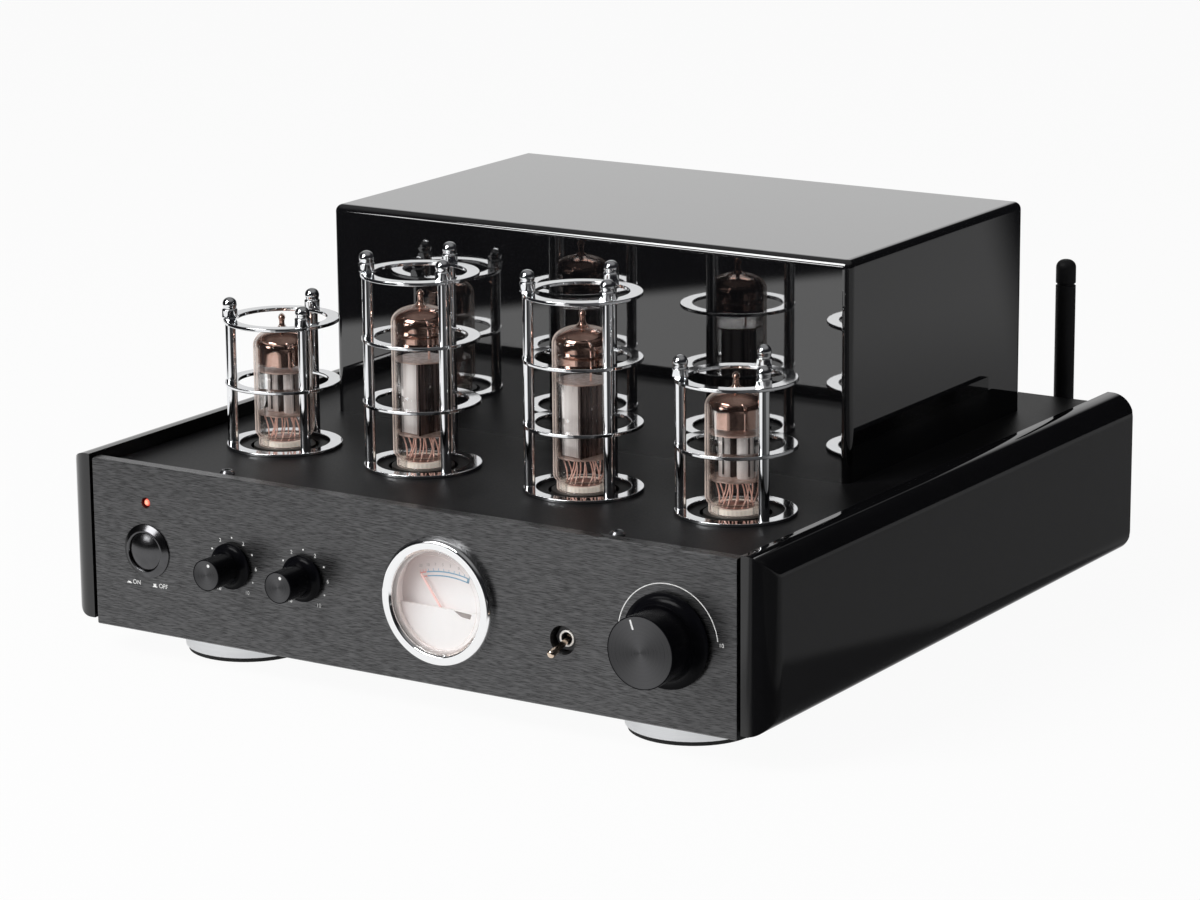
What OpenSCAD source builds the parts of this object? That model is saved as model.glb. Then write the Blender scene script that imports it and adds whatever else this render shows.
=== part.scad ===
// Hybrid stereo amplifier: four caged tubes, a round level meter and a folding aerial, in millimetres.
// +X is to the right as seen from the front, +Y runs to the back and +Z is up.
// The origin lies on the table, under the middle of the whole object.
// A depth is counted back from the front panel's face, a height up from the panel's lower edge.

/* [Case] */
// Width of the front panel
panel_w = 275; // [265:1:300]
// Height of the front panel
panel_h = 63.5; // [62:0.5:72]
// Thickness of the front panel
panel_t = 5; // [5:0.5:8]
// Chamfer along the panel's front edges
panel_chamfer = 0.5; // [0.2:0.1:1]
// How far the panel stands above the deck
panel_lip = 4; // [2:0.5:6]
// Depth from the panel's face to the back of the case
case_d = 283; // [275:1:310]
// Slot between the panel's end and the cheek
reveal = 1.5; // [1:0.1:3]
// Sheet thickness of the tray and the rear panel
sheet_t = 1.5; // [1:0.1:2]
// Thickness of the deck plate
deck_t = 2; // [1.5:0.1:3]
// Width of the flanges that the deck is screwed to
flange_w = 18; // [16:1:22]

/* [Cheeks] */
// Thickness of a side cheek
cheek_t = 11; // [10:0.5:16]
// How far a cheek stops short of the back of the case
cheek_short = 3; // [0:0.5:20]
// Height of a cheek's underside above the panel's lower edge
cheek_low = 2; // [0:0.5:4]
// How far a cheek rises above the panel's upper edge
cheek_rise = 1.3; // [0:0.1:4]
// Radius of a cheek's outer edges
cheek_r = 9; // [4:0.5:9.5]

/* [Transformer cover] */
// Width of the cover
cover_w = 226.5; // [215:0.5:250]
// Depth of the cover
cover_d = 136; // [130:1:145]
// Height of the cover above the deck
cover_h = 81.6; // [70:0.2:95]
// Sheet thickness of the cover
cover_wall = 1.5; // [1:0.1:2.5]
// Radius of the cover's edges
cover_r = 3; // [2:0.1:4]
// Space between the cover and the back of the case
cover_back_gap = 26.4; // [25:0.2:32]
// Radius of the screw bosses in the cover's corners
cover_boss_r = 4; // [3.5:0.1:5]
// Height of the cover's screw bosses
cover_boss_h = 14; // [12:1:20]
// How far a screw boss is sunk into the cover's walls
cover_boss_sink = 0.5; // [0.3:0.1:1]

/* [Feet] */
// Radius of a foot
foot_r = 24.8; // [20:0.2:27]
// Height of a foot with its pad
foot_h = 12; // [11:0.5:16]
// How much narrower a foot is at its lower end
foot_taper = 0.8; // [0:0.1:2]
// Chamfer round a foot's upper edge
foot_edge = 0.8; // [0.4:0.1:1.5]
// Thickness of a foot over its screw's head
foot_web = 5; // [4:0.1:6]
// Thickness of the rubber pad
pad_h = 1.6; // [1:0.1:3]
// How far the pad stays inside the foot
pad_inset = 1; // [0.5:0.1:2]
// Distance of the feet from the middle
foot_x = 96.8; // [80:0.2:105]
// Distance of the feet from the front face and from the back
foot_inset = 39.4; // [36:0.2:55]

/* [Tubes] */
// Radius of a tube's glass
tube_r = 11; // [10:0.1:11.6]
// Thickness of the glass
glass_wall = 0.9; // [0.6:0.1:1.2]
// Distance of the tube row from the front face
row_depth = 66.2; // [62:0.2:72]
// Distance of the driver tubes from the middle
driver_x = 98.3; // [92:0.1:106]
// Distance of the power tubes from the middle
power_x = 35; // [30:0.1:42]
// Height of a driver tube
driver_h = 50.2; // [46:0.2:60]
// Height of a power tube
power_h = 65.7; // [60:0.2:70]
// Height of the dome above the straight glass
dome_h = 5.3; // [4.8:0.1:6]
// Height of the corner that the dome's shoulder rounds off
dome_corner = 4.2; // [3:0.1:4.6]
// Radius where the dome turns into its neck
neck_r = 4.2; // [3:0.1:5]
// Height of the neck
neck_h = 3.2; // [2.5:0.1:4]
// Radius of the sealed tip
tip_r = 1.6; // [1.3:0.1:2]
// Radius of the sealed tip's round end
tip_top_r = 1; // [0.6:0.1:1.2]
// Height of the sealed tip
tip_h = 4; // [3:0.1:5]
// Thickness of the glass stem
stem_t = 2; // [1:0.1:3]
// Height of the lower mica disc above the stem
mica_lift = 10; // [7:0.2:12]
// Gap between a mica disc's edge and the stem's edge
mica_gap = 0.3; // [0.2:0.1:0.6]
// Thickness of a mica disc
mica_t = 0.5; // [0.3:0.1:1]
// Length of a driver tube's plates
driver_plate_h = 16; // [12:0.2:18]
// Length of a power tube's plates
power_plate_h = 27; // [20:0.2:30]
// Mica left outside a driver tube's plates
plate_margin = 2; // [1:0.1:3]
// Width of a power tube's plate
power_plate_w = 9.5; // [7:0.1:10]
// Depth of a power tube's plate
power_plate_d = 12.6; // [10:0.1:13.6]
// Corner radius of a power tube's plate
power_plate_edge = 1; // [0.5:0.1:2]
// Angle of a power tube's plate, in degrees
power_plate_turn = -10; // [-45:1:45]
// Depth of a driver tube's plates
plate_t = 6; // [4:0.2:8]
// Radius of the support wires
wire_r = 0.5; // [0.4:0.05:0.7]
// Radius of the getter ring
getter_r = 3.4; // [2.5:0.1:4]
// Height of the getter ring above the upper mica disc
getter_lift = 5; // [3:0.2:6]
// Radius of a pin
pin_r = 0.5; // [0.4:0.05:0.55]
// Radius of the pin circle
pin_circle_r = 5.95; // [5.5:0.05:6.5]
// Length of a pin
pin_len = 7; // [5:0.2:9]
// Radius of a socket
socket_r = 11.6; // [11.6:0.1:12.4]
// Height of a socket
socket_h = 12; // [10:0.5:14]
// Radius of the hole in a socket's middle
socket_bore_r = 2.9; // [2:0.1:4]
// How far a socket stands above the deck
socket_rise = 0.4; // [0.2:0.1:1]
// Gap round a socket in the deck
socket_gap = 1.2; // [0.5:0.1:2]

/* [Cages] */
// Outer radius of a cage ring
ring_r = 21.8; // [20:0.1:23]
// Width of a cage ring
ring_w = 4.8; // [4.4:0.1:5.6]
// Thickness of a cage ring
ring_t = 1.3; // [1:0.1:2]
// Height of one tier of a cage
tier_h = 22.5; // [20:0.1:25]
// Radius of a cage post
post_r = 2; // [1.9:0.05:2.2]
// Radius of the stud on a cage post
stud_r = 1.3; // [1:0.05:1.4]
// How far a stud reaches into the next piece
stud_grip = 2.5; // [1.5:0.1:3.5]
// Radius of a finial's collar
finial_r = 3.1; // [2.8:0.1:3.4]
// Height of a finial's collar
finial_collar_h = 3.4; // [3:0.1:4.5]
// Chamfer at a finial's foot
finial_foot = 0.3; // [0.1:0.1:0.6]
// Slope at the top of a finial's collar
finial_slope = 0.5; // [0.2:0.1:1]
// Radius of a finial's dome
finial_dome_r = 2.5; // [2.2:0.1:2.8]
// Height of a finial's neck between collar and dome
finial_neck_h = 1.8; // [1:0.1:2.5]

/* [Front controls] */
// Height of the row of controls
control_h = 31.3; // [29:0.1:34]
// Place of the power button across the panel
power_button_x = -113; // [-116:0.5:-108]
// Radius of the power button
button_r = 6.9; // [6:0.1:7.5]
// Radius of the power button's bezel
button_bezel_r = 10.2; // [9.8:0.1:12]
// How far the bezel stands out
button_bezel_out = 2; // [1:0.1:3]
// Height of the bezel's upright edge
button_bezel_edge = 0.6; // [0.3:0.1:0.9]
// Width of the bezel's rounded slope
button_bezel_slope = 2; // [1:0.1:2.4]
// Wall of the bezel's sleeve through the panel
sleeve_t = 1.5; // [1:0.1:2]
// How far the button's rim stands out
button_out = 1.5; // [0.8:0.1:2.5]
// Height of the button's dome
button_dome = 1.1; // [0.5:0.1:2]
// Depth of the button's cap
button_cap_d = 3.6; // [2.5:0.1:4.2]
// How far the button can be pressed from where it rests
button_press = 1; // [0.5:0.1:1.5]
// How far the button's stem reaches into the switch
button_stem_grip = 6; // [4:0.5:8]
// Radius of the button's stem
button_stem_r = 2.5; // [2:0.1:3]
// Width and height of the power switch
switch_w = 14; // [12:0.5:16]
// Depth of the power switch
switch_d = 22; // [18:0.5:26]
// Height of the lamp
lamp_h = 49.5; // [47:0.1:52]
// Radius of the lamp
lamp_r = 1.5; // [1:0.1:2]
// How far the lamp's tip stays behind the panel's face
lamp_sink = 0.2; // [0:0.1:1]
// Depth of the lamp's base behind the wall
lamp_base_d = 4; // [2:0.1:6]
// How much wider the lamp's base is than the lamp
lamp_rim = 0.4; // [0.2:0.1:0.8]
// Radius of the hole in front of the lamp
lamp_hole_r = 2; // [2:0.1:2.5]
// Place of the treble knob
treble_x = -73.9; // [-80:0.1:-70]
// Place of the bass knob
bass_x = -41.9; // [-46:0.1:-36]
// Place of the volume knob
volume_x = 110.5; // [106:0.1:114]
// Skirt radius of a tone knob
tone_skirt_r = 8.55; // [8:0.05:10]
// Face radius of a tone knob
tone_face_r = 5.8; // [5:0.1:7]
// How far a tone knob stands out
tone_out = 15.8; // [13.5:0.1:20]
// Skirt radius of the volume knob
volume_skirt_r = 16.9; // [14:0.1:18]
// Face radius of the volume knob
volume_face_r = 12.9; // [9:0.1:13.5]
// How far the volume knob stands out
volume_out = 18; // [16:0.1:22]
// Thickness of a knob's skirt
skirt_t = 2.2; // [1:0.1:3]
// Height of the hollow curve above a knob's skirt
flare_h = 2.4; // [1:0.1:4]
// Chamfer at a knob's foot
knob_foot = 0.5; // [0.2:0.1:0.9]
// Chamfer round a knob's face
knob_edge = 0.7; // [0.2:0.1:1.5]
// Gap between a knob and the panel
knob_gap = 0.8; // [0.5:0.1:1.5]
// Thickness of a knob in front of its shaft
knob_cap_t = 4; // [2:0.1:5]
// Radius of a control's shaft
shaft_r = 3; // [2.5:0.1:3.1]
// Radius of the threaded bush round a shaft
bush_r = 3.8; // [3.6:0.1:4.2]
// Radius of a tone control's body
tone_pot_r = 8.5; // [7:0.1:10]
// Radius of the volume control's body
volume_pot_r = 12; // [9:0.1:13]
// Depth of a control's body
pot_d = 10; // [8:0.5:14]
// Wall behind the shaft in a control's body
pot_wall = 1; // [0.5:0.1:2]
// Corner radius of the nuts
nut_r = 5.8; // [5.2:0.1:6]
// Thickness of the nuts
nut_t = 2; // [1.5:0.1:2.5]
// Room round a nut in the panel
nut_gap = 0.5; // [0.3:0.1:1]

/* [Source switch] */
// Place of the source switch across the panel
source_x = 68.2; // [64:0.1:72]
// Height of the source switch
source_h = 24.8; // [22:0.1:31]
// Radius of the recess round the lever
recess_r = 5.2; // [5:0.1:6]
// Radius of the lever's bush
lever_bush_r = 3; // [2.8:0.1:3.4]
// Depth of the bush's end behind the panel's face
lever_bush_depth = 2.7; // [2:0.1:3]
// Depth of the lever's pivot behind the panel's face
lever_pivot = 6; // [5.8:0.1:6.3]
// Radius of the lever's ball
lever_ball_r = 2; // [1.9:0.05:2.2]
// Radius of the lever at its ball
lever_neck_r = 1; // [0.8:0.05:1.05]
// Radius of the lever at its tip
lever_tip_r = 1.5; // [1.2:0.05:1.8]
// Length of the lever from its pivot
lever_len = 15; // [12:0.1:18]
// Angle of the lever below level
lever_tilt = 13; // [10:0.5:13.5]
// Width of the source switch's body
source_w = 13; // [11:0.5:15]
// Height of the source switch's body
source_body_h = 9; // [7.5:0.5:12]
// Depth of the source switch's body
source_d = 11; // [9:0.5:14]

/* [Meter] */
// Place of the meter across the panel
meter_x = 17; // [12:0.1:22]
// Outer radius of the bezel
bezel_r = 23.05; // [22.8:0.05:24]
// Inner radius of the bezel
bezel_bore_r = 18.6; // [18:0.1:20]
// How far the bezel stands out
bezel_out = 3.6; // [3.2:0.1:5]
// Chamfer round the bezel's outer edge
bezel_edge = 1; // [0.5:0.1:1.4]
// Chamfer round the bezel's bore
bezel_bore_edge = 0.6; // [0.3:0.1:0.8]
// Thickness of the bezel's lip over the lens
bezel_lip = 1.2; // [0.8:0.1:1.5]
// Outer radius of the meter's case
meter_case_r = 21.6; // [21.4:0.1:21.9]
// Wall of the meter's case
meter_wall = 1.4; // [1:0.1:1.6]
// Depth of the meter's case behind the panel's face
meter_d = 28; // [24:0.5:32]
// Thickness of the lens
lens_t = 1.5; // [1:0.1:1.8]
// Depth of the dial's face behind the panel's face
dial_depth = 5; // [4.6:0.1:7]
// Thickness of the dial
dial_t = 0.8; // [0.5:0.1:1.2]
// Depth of the mask's face behind the panel's face
mask_depth = 1.6; // [1:0.1:2]
// Thickness of the mask over the lower half
mask_t = 0.8; // [0.5:0.1:1]
// How far the mask's edge lies below the meter's middle
mask_low = 3; // [1:0.1:5]
// Distance of the mask's spacers from the meter's middle, sideways
spacer_x = 10; // [8:0.1:12]
// How far the mask's spacers lie below the meter's middle
spacer_low = 12; // [10:0.1:14]
// Radius of the mask's spacers
spacer_r = 1.2; // [1:0.1:1.5]
// Depth of the needle behind the panel's face
needle_depth = 3.2; // [3:0.1:3.4]
// Thickness of the needle
needle_t = 0.5; // [0.3:0.05:0.7]
// Width of the needle
needle_w = 0.6; // [0.4:0.05:1]
// Length of the needle from its pivot
needle_len = 17; // [14:0.1:18]
// How far the needle's pivot lies below the meter's middle
needle_low = 6; // [4.5:0.1:8]
// Angle of the resting needle, to the left of upright
needle_rest = 36; // [30:1:40]
// Radius of the needle's hub
hub_r = 2; // [1.5:0.1:2.5]
// Radius of the needle's pivot pin
pivot_r = 0.6; // [0.5:0.05:0.8]
// Length of the needle's pivot pin in the movement
pivot_grip = 6; // [4:0.5:8]
// Radius of the meter's movement
movement_r = 10; // [9:0.2:12]

/* [Aerial] */
// Place of the aerial across the back
aerial_x = 113.4; // [108:0.1:118]
// Height of the aerial's socket
aerial_h = 40; // [38:0.5:44]
// Distance of the whip's middle from the back of the case
whip_out = 11; // [10.8:0.1:13]
// Radius of the whip
whip_r = 3.9; // [3.6:0.1:4.1]
// Length of the whip above its hinge
whip_len = 72; // [60:0.5:90]
// Distance of the groove from the whip's tip
groove_drop = 9.7; // [7:0.1:14]
// Width of the groove at the whip's face
groove_w = 1.2; // [0.8:0.1:2]
// Radius of the whip's rounded tip
whip_tip_r = 3.1; // [1:0.1:3.5]
// Depth of the groove
groove_depth = 0.5; // [0.2:0.05:0.8]
// Thickness of the whip's tongue
tongue_t = 4; // [3.4:0.1:4.4]
// Radius of the knuckle
knuckle_r = 4.6; // [4.4:0.1:5]
// How much slimmer the hinge's ears and tongue are than the round pieces
hinge_inset = 0.2; // [0.1:0.05:0.4]
// How far the ears run into the knuckle's sleeve
ear_root = 0.5; // [0.3:0.1:0.8]
// Radius of the hinge pin
hinge_r = 1.2; // [1:0.05:1.5]
// Radius of the socket's threaded barrel
barrel_r = 3.1; // [2.8:0.05:3.3]
// Length of the socket's barrel outside
barrel_len = 5; // [4:0.1:5.2]
// Radius of the socket's flange
aerial_flange_r = 5.5; // [5:0.1:6.5]
// Thickness of the socket's flange
aerial_flange_t = 1.5; // [1:0.1:2]
// Depth of the socket inside the case
aerial_inner = 8; // [5:0.5:12]
// Clearance round the hinge's tongue
hinge_gap = 0.3; // [0.2:0.05:0.5]

/* [Rear sockets] */
// Height of the rear sockets
rear_h = 22; // [20:0.2:24]
// Place of the line sockets' middle
line_x = 80; // [74:0.5:86]
// Distance between the line sockets
line_pitch = 18; // [16:0.5:20]
// Radius of a line socket's barrel
line_r = 4.15; // [4:0.05:4.3]
// Length of a line socket outside
line_out = 10; // [8.5:0.1:11]
// Radius of a line socket's flange
line_flange_r = 5.6; // [5:0.1:7]
// Radius of a line socket's hole
line_hole_r = 1.6; // [1.5:0.05:1.8]
// Depth of a line socket inside the case
line_inner = 9; // [6:0.5:12]
// Thickness of the flanges on the rear sockets
rear_flange_t = 1.5; // [1:0.1:2]
// Place of the left pair of speaker posts
left_pair_x = -24; // [-30:0.5:-20]
// Place of the right pair of speaker posts
right_pair_x = 32; // [26:0.5:38]
// Distance between the posts of a pair
speaker_pitch = 19; // [17:0.5:22]
// Radius of a speaker post
speaker_r = 3.2; // [3:0.1:3.6]
// Radius of the plug hole in a speaker post
plug_r = 2; // [1.95:0.05:2.1]
// Depth of the plug hole
plug_d = 14; // [10:0.5:16]
// How far a speaker post stands out
speaker_out = 18.5; // [17:0.1:22]
// Radius of a speaker post's base
speaker_base_r = 7; // [6:0.1:8]
// Thickness of a speaker post's base
speaker_base_t = 2.5; // [1.5:0.1:4]
// Radius of a speaker cap
cap_r = 6.2; // [5:0.1:7]
// Chamfer at a speaker cap's ends
cap_edge = 0.7; // [0.3:0.1:1.2]
// Length of a speaker cap
cap_len = 13; // [10:0.1:14]
// Depth of a speaker post inside the case
speaker_inner = 12; // [8:0.5:16]
// Place of the mains inlet
inlet_x = -92; // [-98:0.5:-86]
// Width of the inlet's body
inlet_w = 27; // [26:0.1:29]
// Height of the inlet's body
inlet_body_h = 20; // [19:0.1:22]
// Depth of the inlet's body inside the case
inlet_d = 17; // [15:0.5:20]
// Border of the inlet's flange
inlet_border = 2.5; // [2:0.1:4]
// Wall of the inlet
inlet_wall = 2; // [1.5:0.1:2.5]
// Length of the inlet's blades
blade_len = 9; // [7:0.5:10]
// Width of an inlet blade
blade_w = 4; // [3.5:0.1:4.5]
// Thickness of an inlet blade
blade_t = 2; // [1.5:0.1:2.2]
// Sideways distance of the outer blades
blade_x = 7; // [6.5:0.1:7.5]
// Height of the middle blade above the outer ones
blade_step = 4; // [3:0.1:4.5]

/* [Inside] */
// Outer radius of the ring transformer
toroid_r = 52; // [40:0.5:56]
// Hole radius of the ring transformer
toroid_hole_r = 16; // [12:0.5:20]
// Height of the ring transformer
toroid_h = 54; // [40:0.5:58]
// Rounding of the ring transformer's edges
toroid_edge_r = 8; // [4:0.5:12]
// Place of the ring transformer across the deck
toroid_x = -44; // [-50:0.5:-38]
// Radius of the ring transformer's clamp plate
clamp_r = 36; // [28:0.5:40]
// Thickness of the clamp plate
clamp_t = 2; // [1:0.1:3]
// Radius of the clamp bolt
bolt_r = 3; // [2.5:0.1:4]
// Radius of the clamp bolt's head and nut
bolt_head_r = 6; // [5:0.1:8]
// Height of the clamp bolt's head and nut
bolt_head_h = 4; // [3:0.1:5]
// Width of the amplifier board
amp_w = 150; // [140:1:170]
// Depth of the amplifier board
amp_d = 100; // [96:1:110]
// Place of the amplifier board across the tray
amp_x = 10; // [4:1:14]
// Distance of the amplifier board from the back of the case
amp_back = 36; // [32:1:44]
// Thickness of the boards
board_t = 1.6; // [1.2:0.1:2]
// Height of the bosses under the amplifier board
amp_boss_h = 7; // [5:0.5:10]
// Radius of the board bosses
boss_r = 3.4; // [3:0.1:4]
// Distance of the board screws from the board's edge
board_inset = 6; // [5:0.5:8]
// Depth of the tube board
tube_board_d = 48; // [46:0.5:50]
// Board left beyond the outer sockets
tube_board_edge = 6; // [3:0.5:9]
// Width of the heat sink
sink_w = 110; // [90:1:120]
// Depth of the heat sink
sink_d = 24; // [18:0.5:28]
// Height of the heat sink
sink_h = 30; // [20:0.5:32]
// Thickness of the heat sink's web and fins
fin_t = 3; // [2:0.1:4]
// Distance from one fin to the next
fin_pitch = 9; // [7:0.5:12]
// Radius of a filter capacitor
capacitor_r = 9; // [7:0.1:11]
// Height of a filter capacitor
capacitor_h = 30; // [20:0.5:32]
// Distance between the filter capacitors
capacitor_pitch = 24; // [23:0.5:26]
// Space between the board's pieces and its screws and edges
part_gap = 2; // [1:0.1:4]
// Width of the wireless module
module_w = 26; // [20:0.5:30]
// Depth of the wireless module
module_d = 18; // [14:0.5:22]
// Height of the wireless module
module_h = 4; // [2:0.5:6]

/* [Screws and fits] */
// Radius of a screw's shank
screw_r = 1.4; // [1.2:0.05:1.5]
// Radius of a screw's head
screw_head_r = 2.8; // [2.4:0.1:3]
// Height of a screw's head
screw_head_h = 1.8; // [1.2:0.1:2.4]
// How far a screw reaches into what it holds
screw_grip = 3; // [2:0.1:3.5]
// Place of the deck's front left screw
deck_screw_left = -88.9; // [-92:0.1:-84]
// Place of the deck's front right screw
deck_screw_right = 79.4; // [76:0.1:84]
// Distance of the deck's front screws from the front face
deck_screw_depth = 18; // [16:0.2:20]
// Distance of the deck's rear screws from the middle
deck_screw_back_x = 60; // [50:1:80]
// Distance of the deck's rear screws from the back of the case
deck_screw_back = 11; // [9:0.2:14]
// Distance of the panel screws from the panel's end
panel_screw_inset = 7; // [6:0.2:9]
// Height of the lower panel screws
panel_screw_low = 9; // [8:0.2:12]
// Height of the upper panel screws
panel_screw_high = 48; // [44:0.2:50]
// Depth of the first and the last cheek screw from the cheek's ends
cheek_screw_inset = 40; // [30:1:50]
// Height of the cheek screws
cheek_screw_h = 36; // [28:0.5:42]
// Clearance round a screw or a stud
screw_gap = 0.15; // [0.1:0.01:0.25]
// Clearance between pieces that slip into each other
slip_gap = 0.1; // [0.05:0.01:0.2]
// Running clearance round a shaft
run_gap = 0.05; // [0.02:0.01:0.09]
// Free play at the inner end of a shaft
end_gap = 0.5; // [0.3:0.1:1]

/* [Hidden] */
$fn = 48;

// A cut runs this far past the face that it opens.
over = 1;
// Steps of a rounded edge
arc_steps = 8;
// Sides of the thin wires and pins
wire_fn = 16;
base_z = foot_h;
deck_h = panel_h - panel_lip;
deck_under = deck_h - deck_t;
tray_w = panel_w + 2 * reveal;
wall_in = tray_w / 2 - sheet_t;
wall_front = panel_t;
wall_back = panel_t + sheet_t;
rear_in = case_d - sheet_t;
foot_head = foot_h - foot_web;
rear_reach = max(speaker_out, whip_out + knuckle_r);
front_y = (volume_out - case_d - rear_reach) / 2;
cover_front = case_d - cover_back_gap - cover_d;
cover_mid = cover_front + cover_d / 2;
cheek_d = case_d - cheek_short;
cover_boss_inset = cover_wall + cover_boss_r - cover_boss_sink;
tube_x = [-driver_x, -power_x, power_x, driver_x];
tube_tiers = [2, 3, 3, 2];
stem_r = tube_r - glass_wall - slip_gap;
mica_r = stem_r - mica_gap;
socket_top = deck_h + socket_rise;
socket_low = socket_top - socket_h;
post_circle_r = ring_r - ring_w / 2;
post_angles = [-150, -30, 90];
level_h = tier_h + ring_t;
bezel_bore = button_r + 2 * slip_gap;
bezel_sleeve_r = button_r + sleeve_t;
button_stem_end = wall_back + button_stem_grip;
nut_room_r = nut_r + nut_gap;
lens_r = meter_case_r - slip_gap;
case_front = lens_t + bezel_lip - bezel_out;
dial_r = meter_case_r - meter_wall - slip_gap;
pivot_h = control_h - needle_low;
web_back = whip_out - whip_r - 2 * hinge_gap;
board_top = socket_low;
tube_board_w = 2 * (driver_x + socket_r + tube_board_edge);
hang_x = (driver_x + power_x) / 2;
hang_y = tube_board_d / 2 - board_inset;
amp_front = case_d - amp_back - amp_d;
amp_low = sheet_t + amp_boss_h;
amp_top = amp_low + board_t;
speaker_x = [
  left_pair_x - speaker_pitch / 2, left_pair_x + speaker_pitch / 2,
  right_pair_x - speaker_pitch / 2, right_pair_x + speaker_pitch / 2
];
cheek_screw_depths = [cheek_screw_inset, cheek_d / 2, cheek_d - cheek_screw_inset];

// Each deck screw as [place across, depth]
deck_screw_at = [
  [deck_screw_left, deck_screw_depth], [deck_screw_right, deck_screw_depth],
  [-deck_screw_back_x, case_d - deck_screw_back], [deck_screw_back_x, case_d - deck_screw_back]
];
// Each cover screw as [place across, depth]
cover_screw_at = [
  for (sx = [-1, 1]) for (sy = [-1, 1])
    [sx * (cover_w / 2 - cover_boss_inset), cover_mid + sy * (cover_d / 2 - cover_boss_inset)]
];
// Each foot as [place across, depth]
foot_at = [for (sx = [-1, 1]) for (d = [foot_inset, case_d - foot_inset]) [sx * foot_x, d]];
// Each boss that the tube board hangs on, as [place across, depth]
hang_at = [for (sx = [-1, 1]) for (sy = [-1, 1]) [sx * hang_x, row_depth + sy * hang_y]];
// Each boss under the amplifier board, as [place across, depth]
amp_boss_at = [
  for (sx = [-1, 1]) for (y = [amp_front + board_inset, amp_front + amp_d - board_inset])
    [amp_x + sx * (amp_w / 2 - board_inset), y]
];
// Each panel screw as [place across, height]
panel_screw_at = [
  for (sx = [-1, 1]) for (h = [panel_screw_low, panel_screw_high])
    [sx * (panel_w / 2 - panel_screw_inset), h]
];
// The rotary controls as [place across, body radius]
pots = [[treble_x, tone_pot_r], [bass_x, tone_pot_r], [volume_x, volume_pot_r]];
// The panel's round holes as [place across, height, radius]
panel_holes = concat(
  [for (p = pots) [p.x, control_h, nut_room_r]],
  [
    [power_button_x, lamp_h, lamp_hole_r], [power_button_x, control_h, bezel_sleeve_r + slip_gap],
    [meter_x, control_h, meter_case_r + slip_gap], [source_x, source_h, recess_r]
  ]
);
// The round holes in the tray's front wall as [place across, height, radius]
wall_holes = concat(
  [for (p = pots) [p.x, control_h, bush_r + slip_gap]],
  [
    [power_button_x, lamp_h, lamp_r + slip_gap], [power_button_x, control_h, button_stem_r + 2 * end_gap],
    [meter_x, control_h, meter_case_r + slip_gap], [source_x, source_h, lever_bush_r + slip_gap]
  ]
);

// Points along an arc
function arc(centre, r, from, to, steps = arc_steps) = [
  for (i = [0:steps]) let (a = from + (to - from) * i / steps) centre + r * [cos(a), sin(a)]
];

// Curve from a to b that rounds off the corner c, without its first point
function bend(a, c, b) = [
  for (i = [1:arc_steps]) let (t = i / arc_steps) (1 - t) * (1 - t) * a + 2 * t * (1 - t) * c + t * t * b
];

// Outline of a bar with round ends
function stadium(w, t) = concat(
  arc([(w - t) / 2, 0], t / 2, -90, 90), arc([-(w - t) / 2, 0], t / 2, 90, 270)
);

// Outline of a rectangle with round upper corners, its lower edge on the axis
function round_top(w, h, r) = concat(
  [[-w / 2, 0], [w / 2, 0]], arc([w / 2 - r, h - r], r, 0, 90), arc([r - w / 2, h - r], r, 90, 180)
);

// Outline of a rectangle with four round corners, its middle on the origin
function round_rect(w, d, r) = concat(
  arc([w / 2 - r, d / 2 - r], r, 0, 90), arc([r - w / 2, d / 2 - r], r, 90, 180),
  arc([r - w / 2, r - d / 2], r, 180, 270), arc([w / 2 - r, r - d / 2], r, 270, 360)
);

// Places its children across, in depth and in height
module at(x, depth, height) {
  translate([x, front_y + depth, base_z + height]) children();
}

// Turns the vertical axis towards the viewer
module to_front() {
  rotate([90, 0, 0]) children();
}

// Turns the vertical axis to the back
module to_back() {
  rotate([-90, 0, 0]) children();
}

// A turned piece whose profile is given as [radius, distance forward]
module turned(profile) {
  to_front() rotate_extrude() polygon(profile);
}

// A turned piece whose profile is given as [radius, distance backward]
module turned_back(profile) {
  to_back() rotate_extrude() polygon(profile);
}

// A box from its lowest corner, across, in depth and in height
module block(x, depth, height, size) {
  at(x, depth, height) cube(size);
}

// A pan-head screw whose head sits on the plane and whose shank goes down
module screw(length) {
  cylinder(r = screw_head_r, h = screw_head_h);
  translate([0, 0, -length]) cylinder(r = screw_r, h = length);
}

// The room that a screw's shank needs, from a little above the plane down
module screw_hole(length) {
  translate([0, 0, -length]) cylinder(r = screw_r + screw_gap, h = length + over);
}

// A round hole to the back through a sheet that starts at the plane
module sheet_hole(r, t) {
  translate([0, -over, 0]) to_back() cylinder(r = r, h = t + 2 * over);
}

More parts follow.
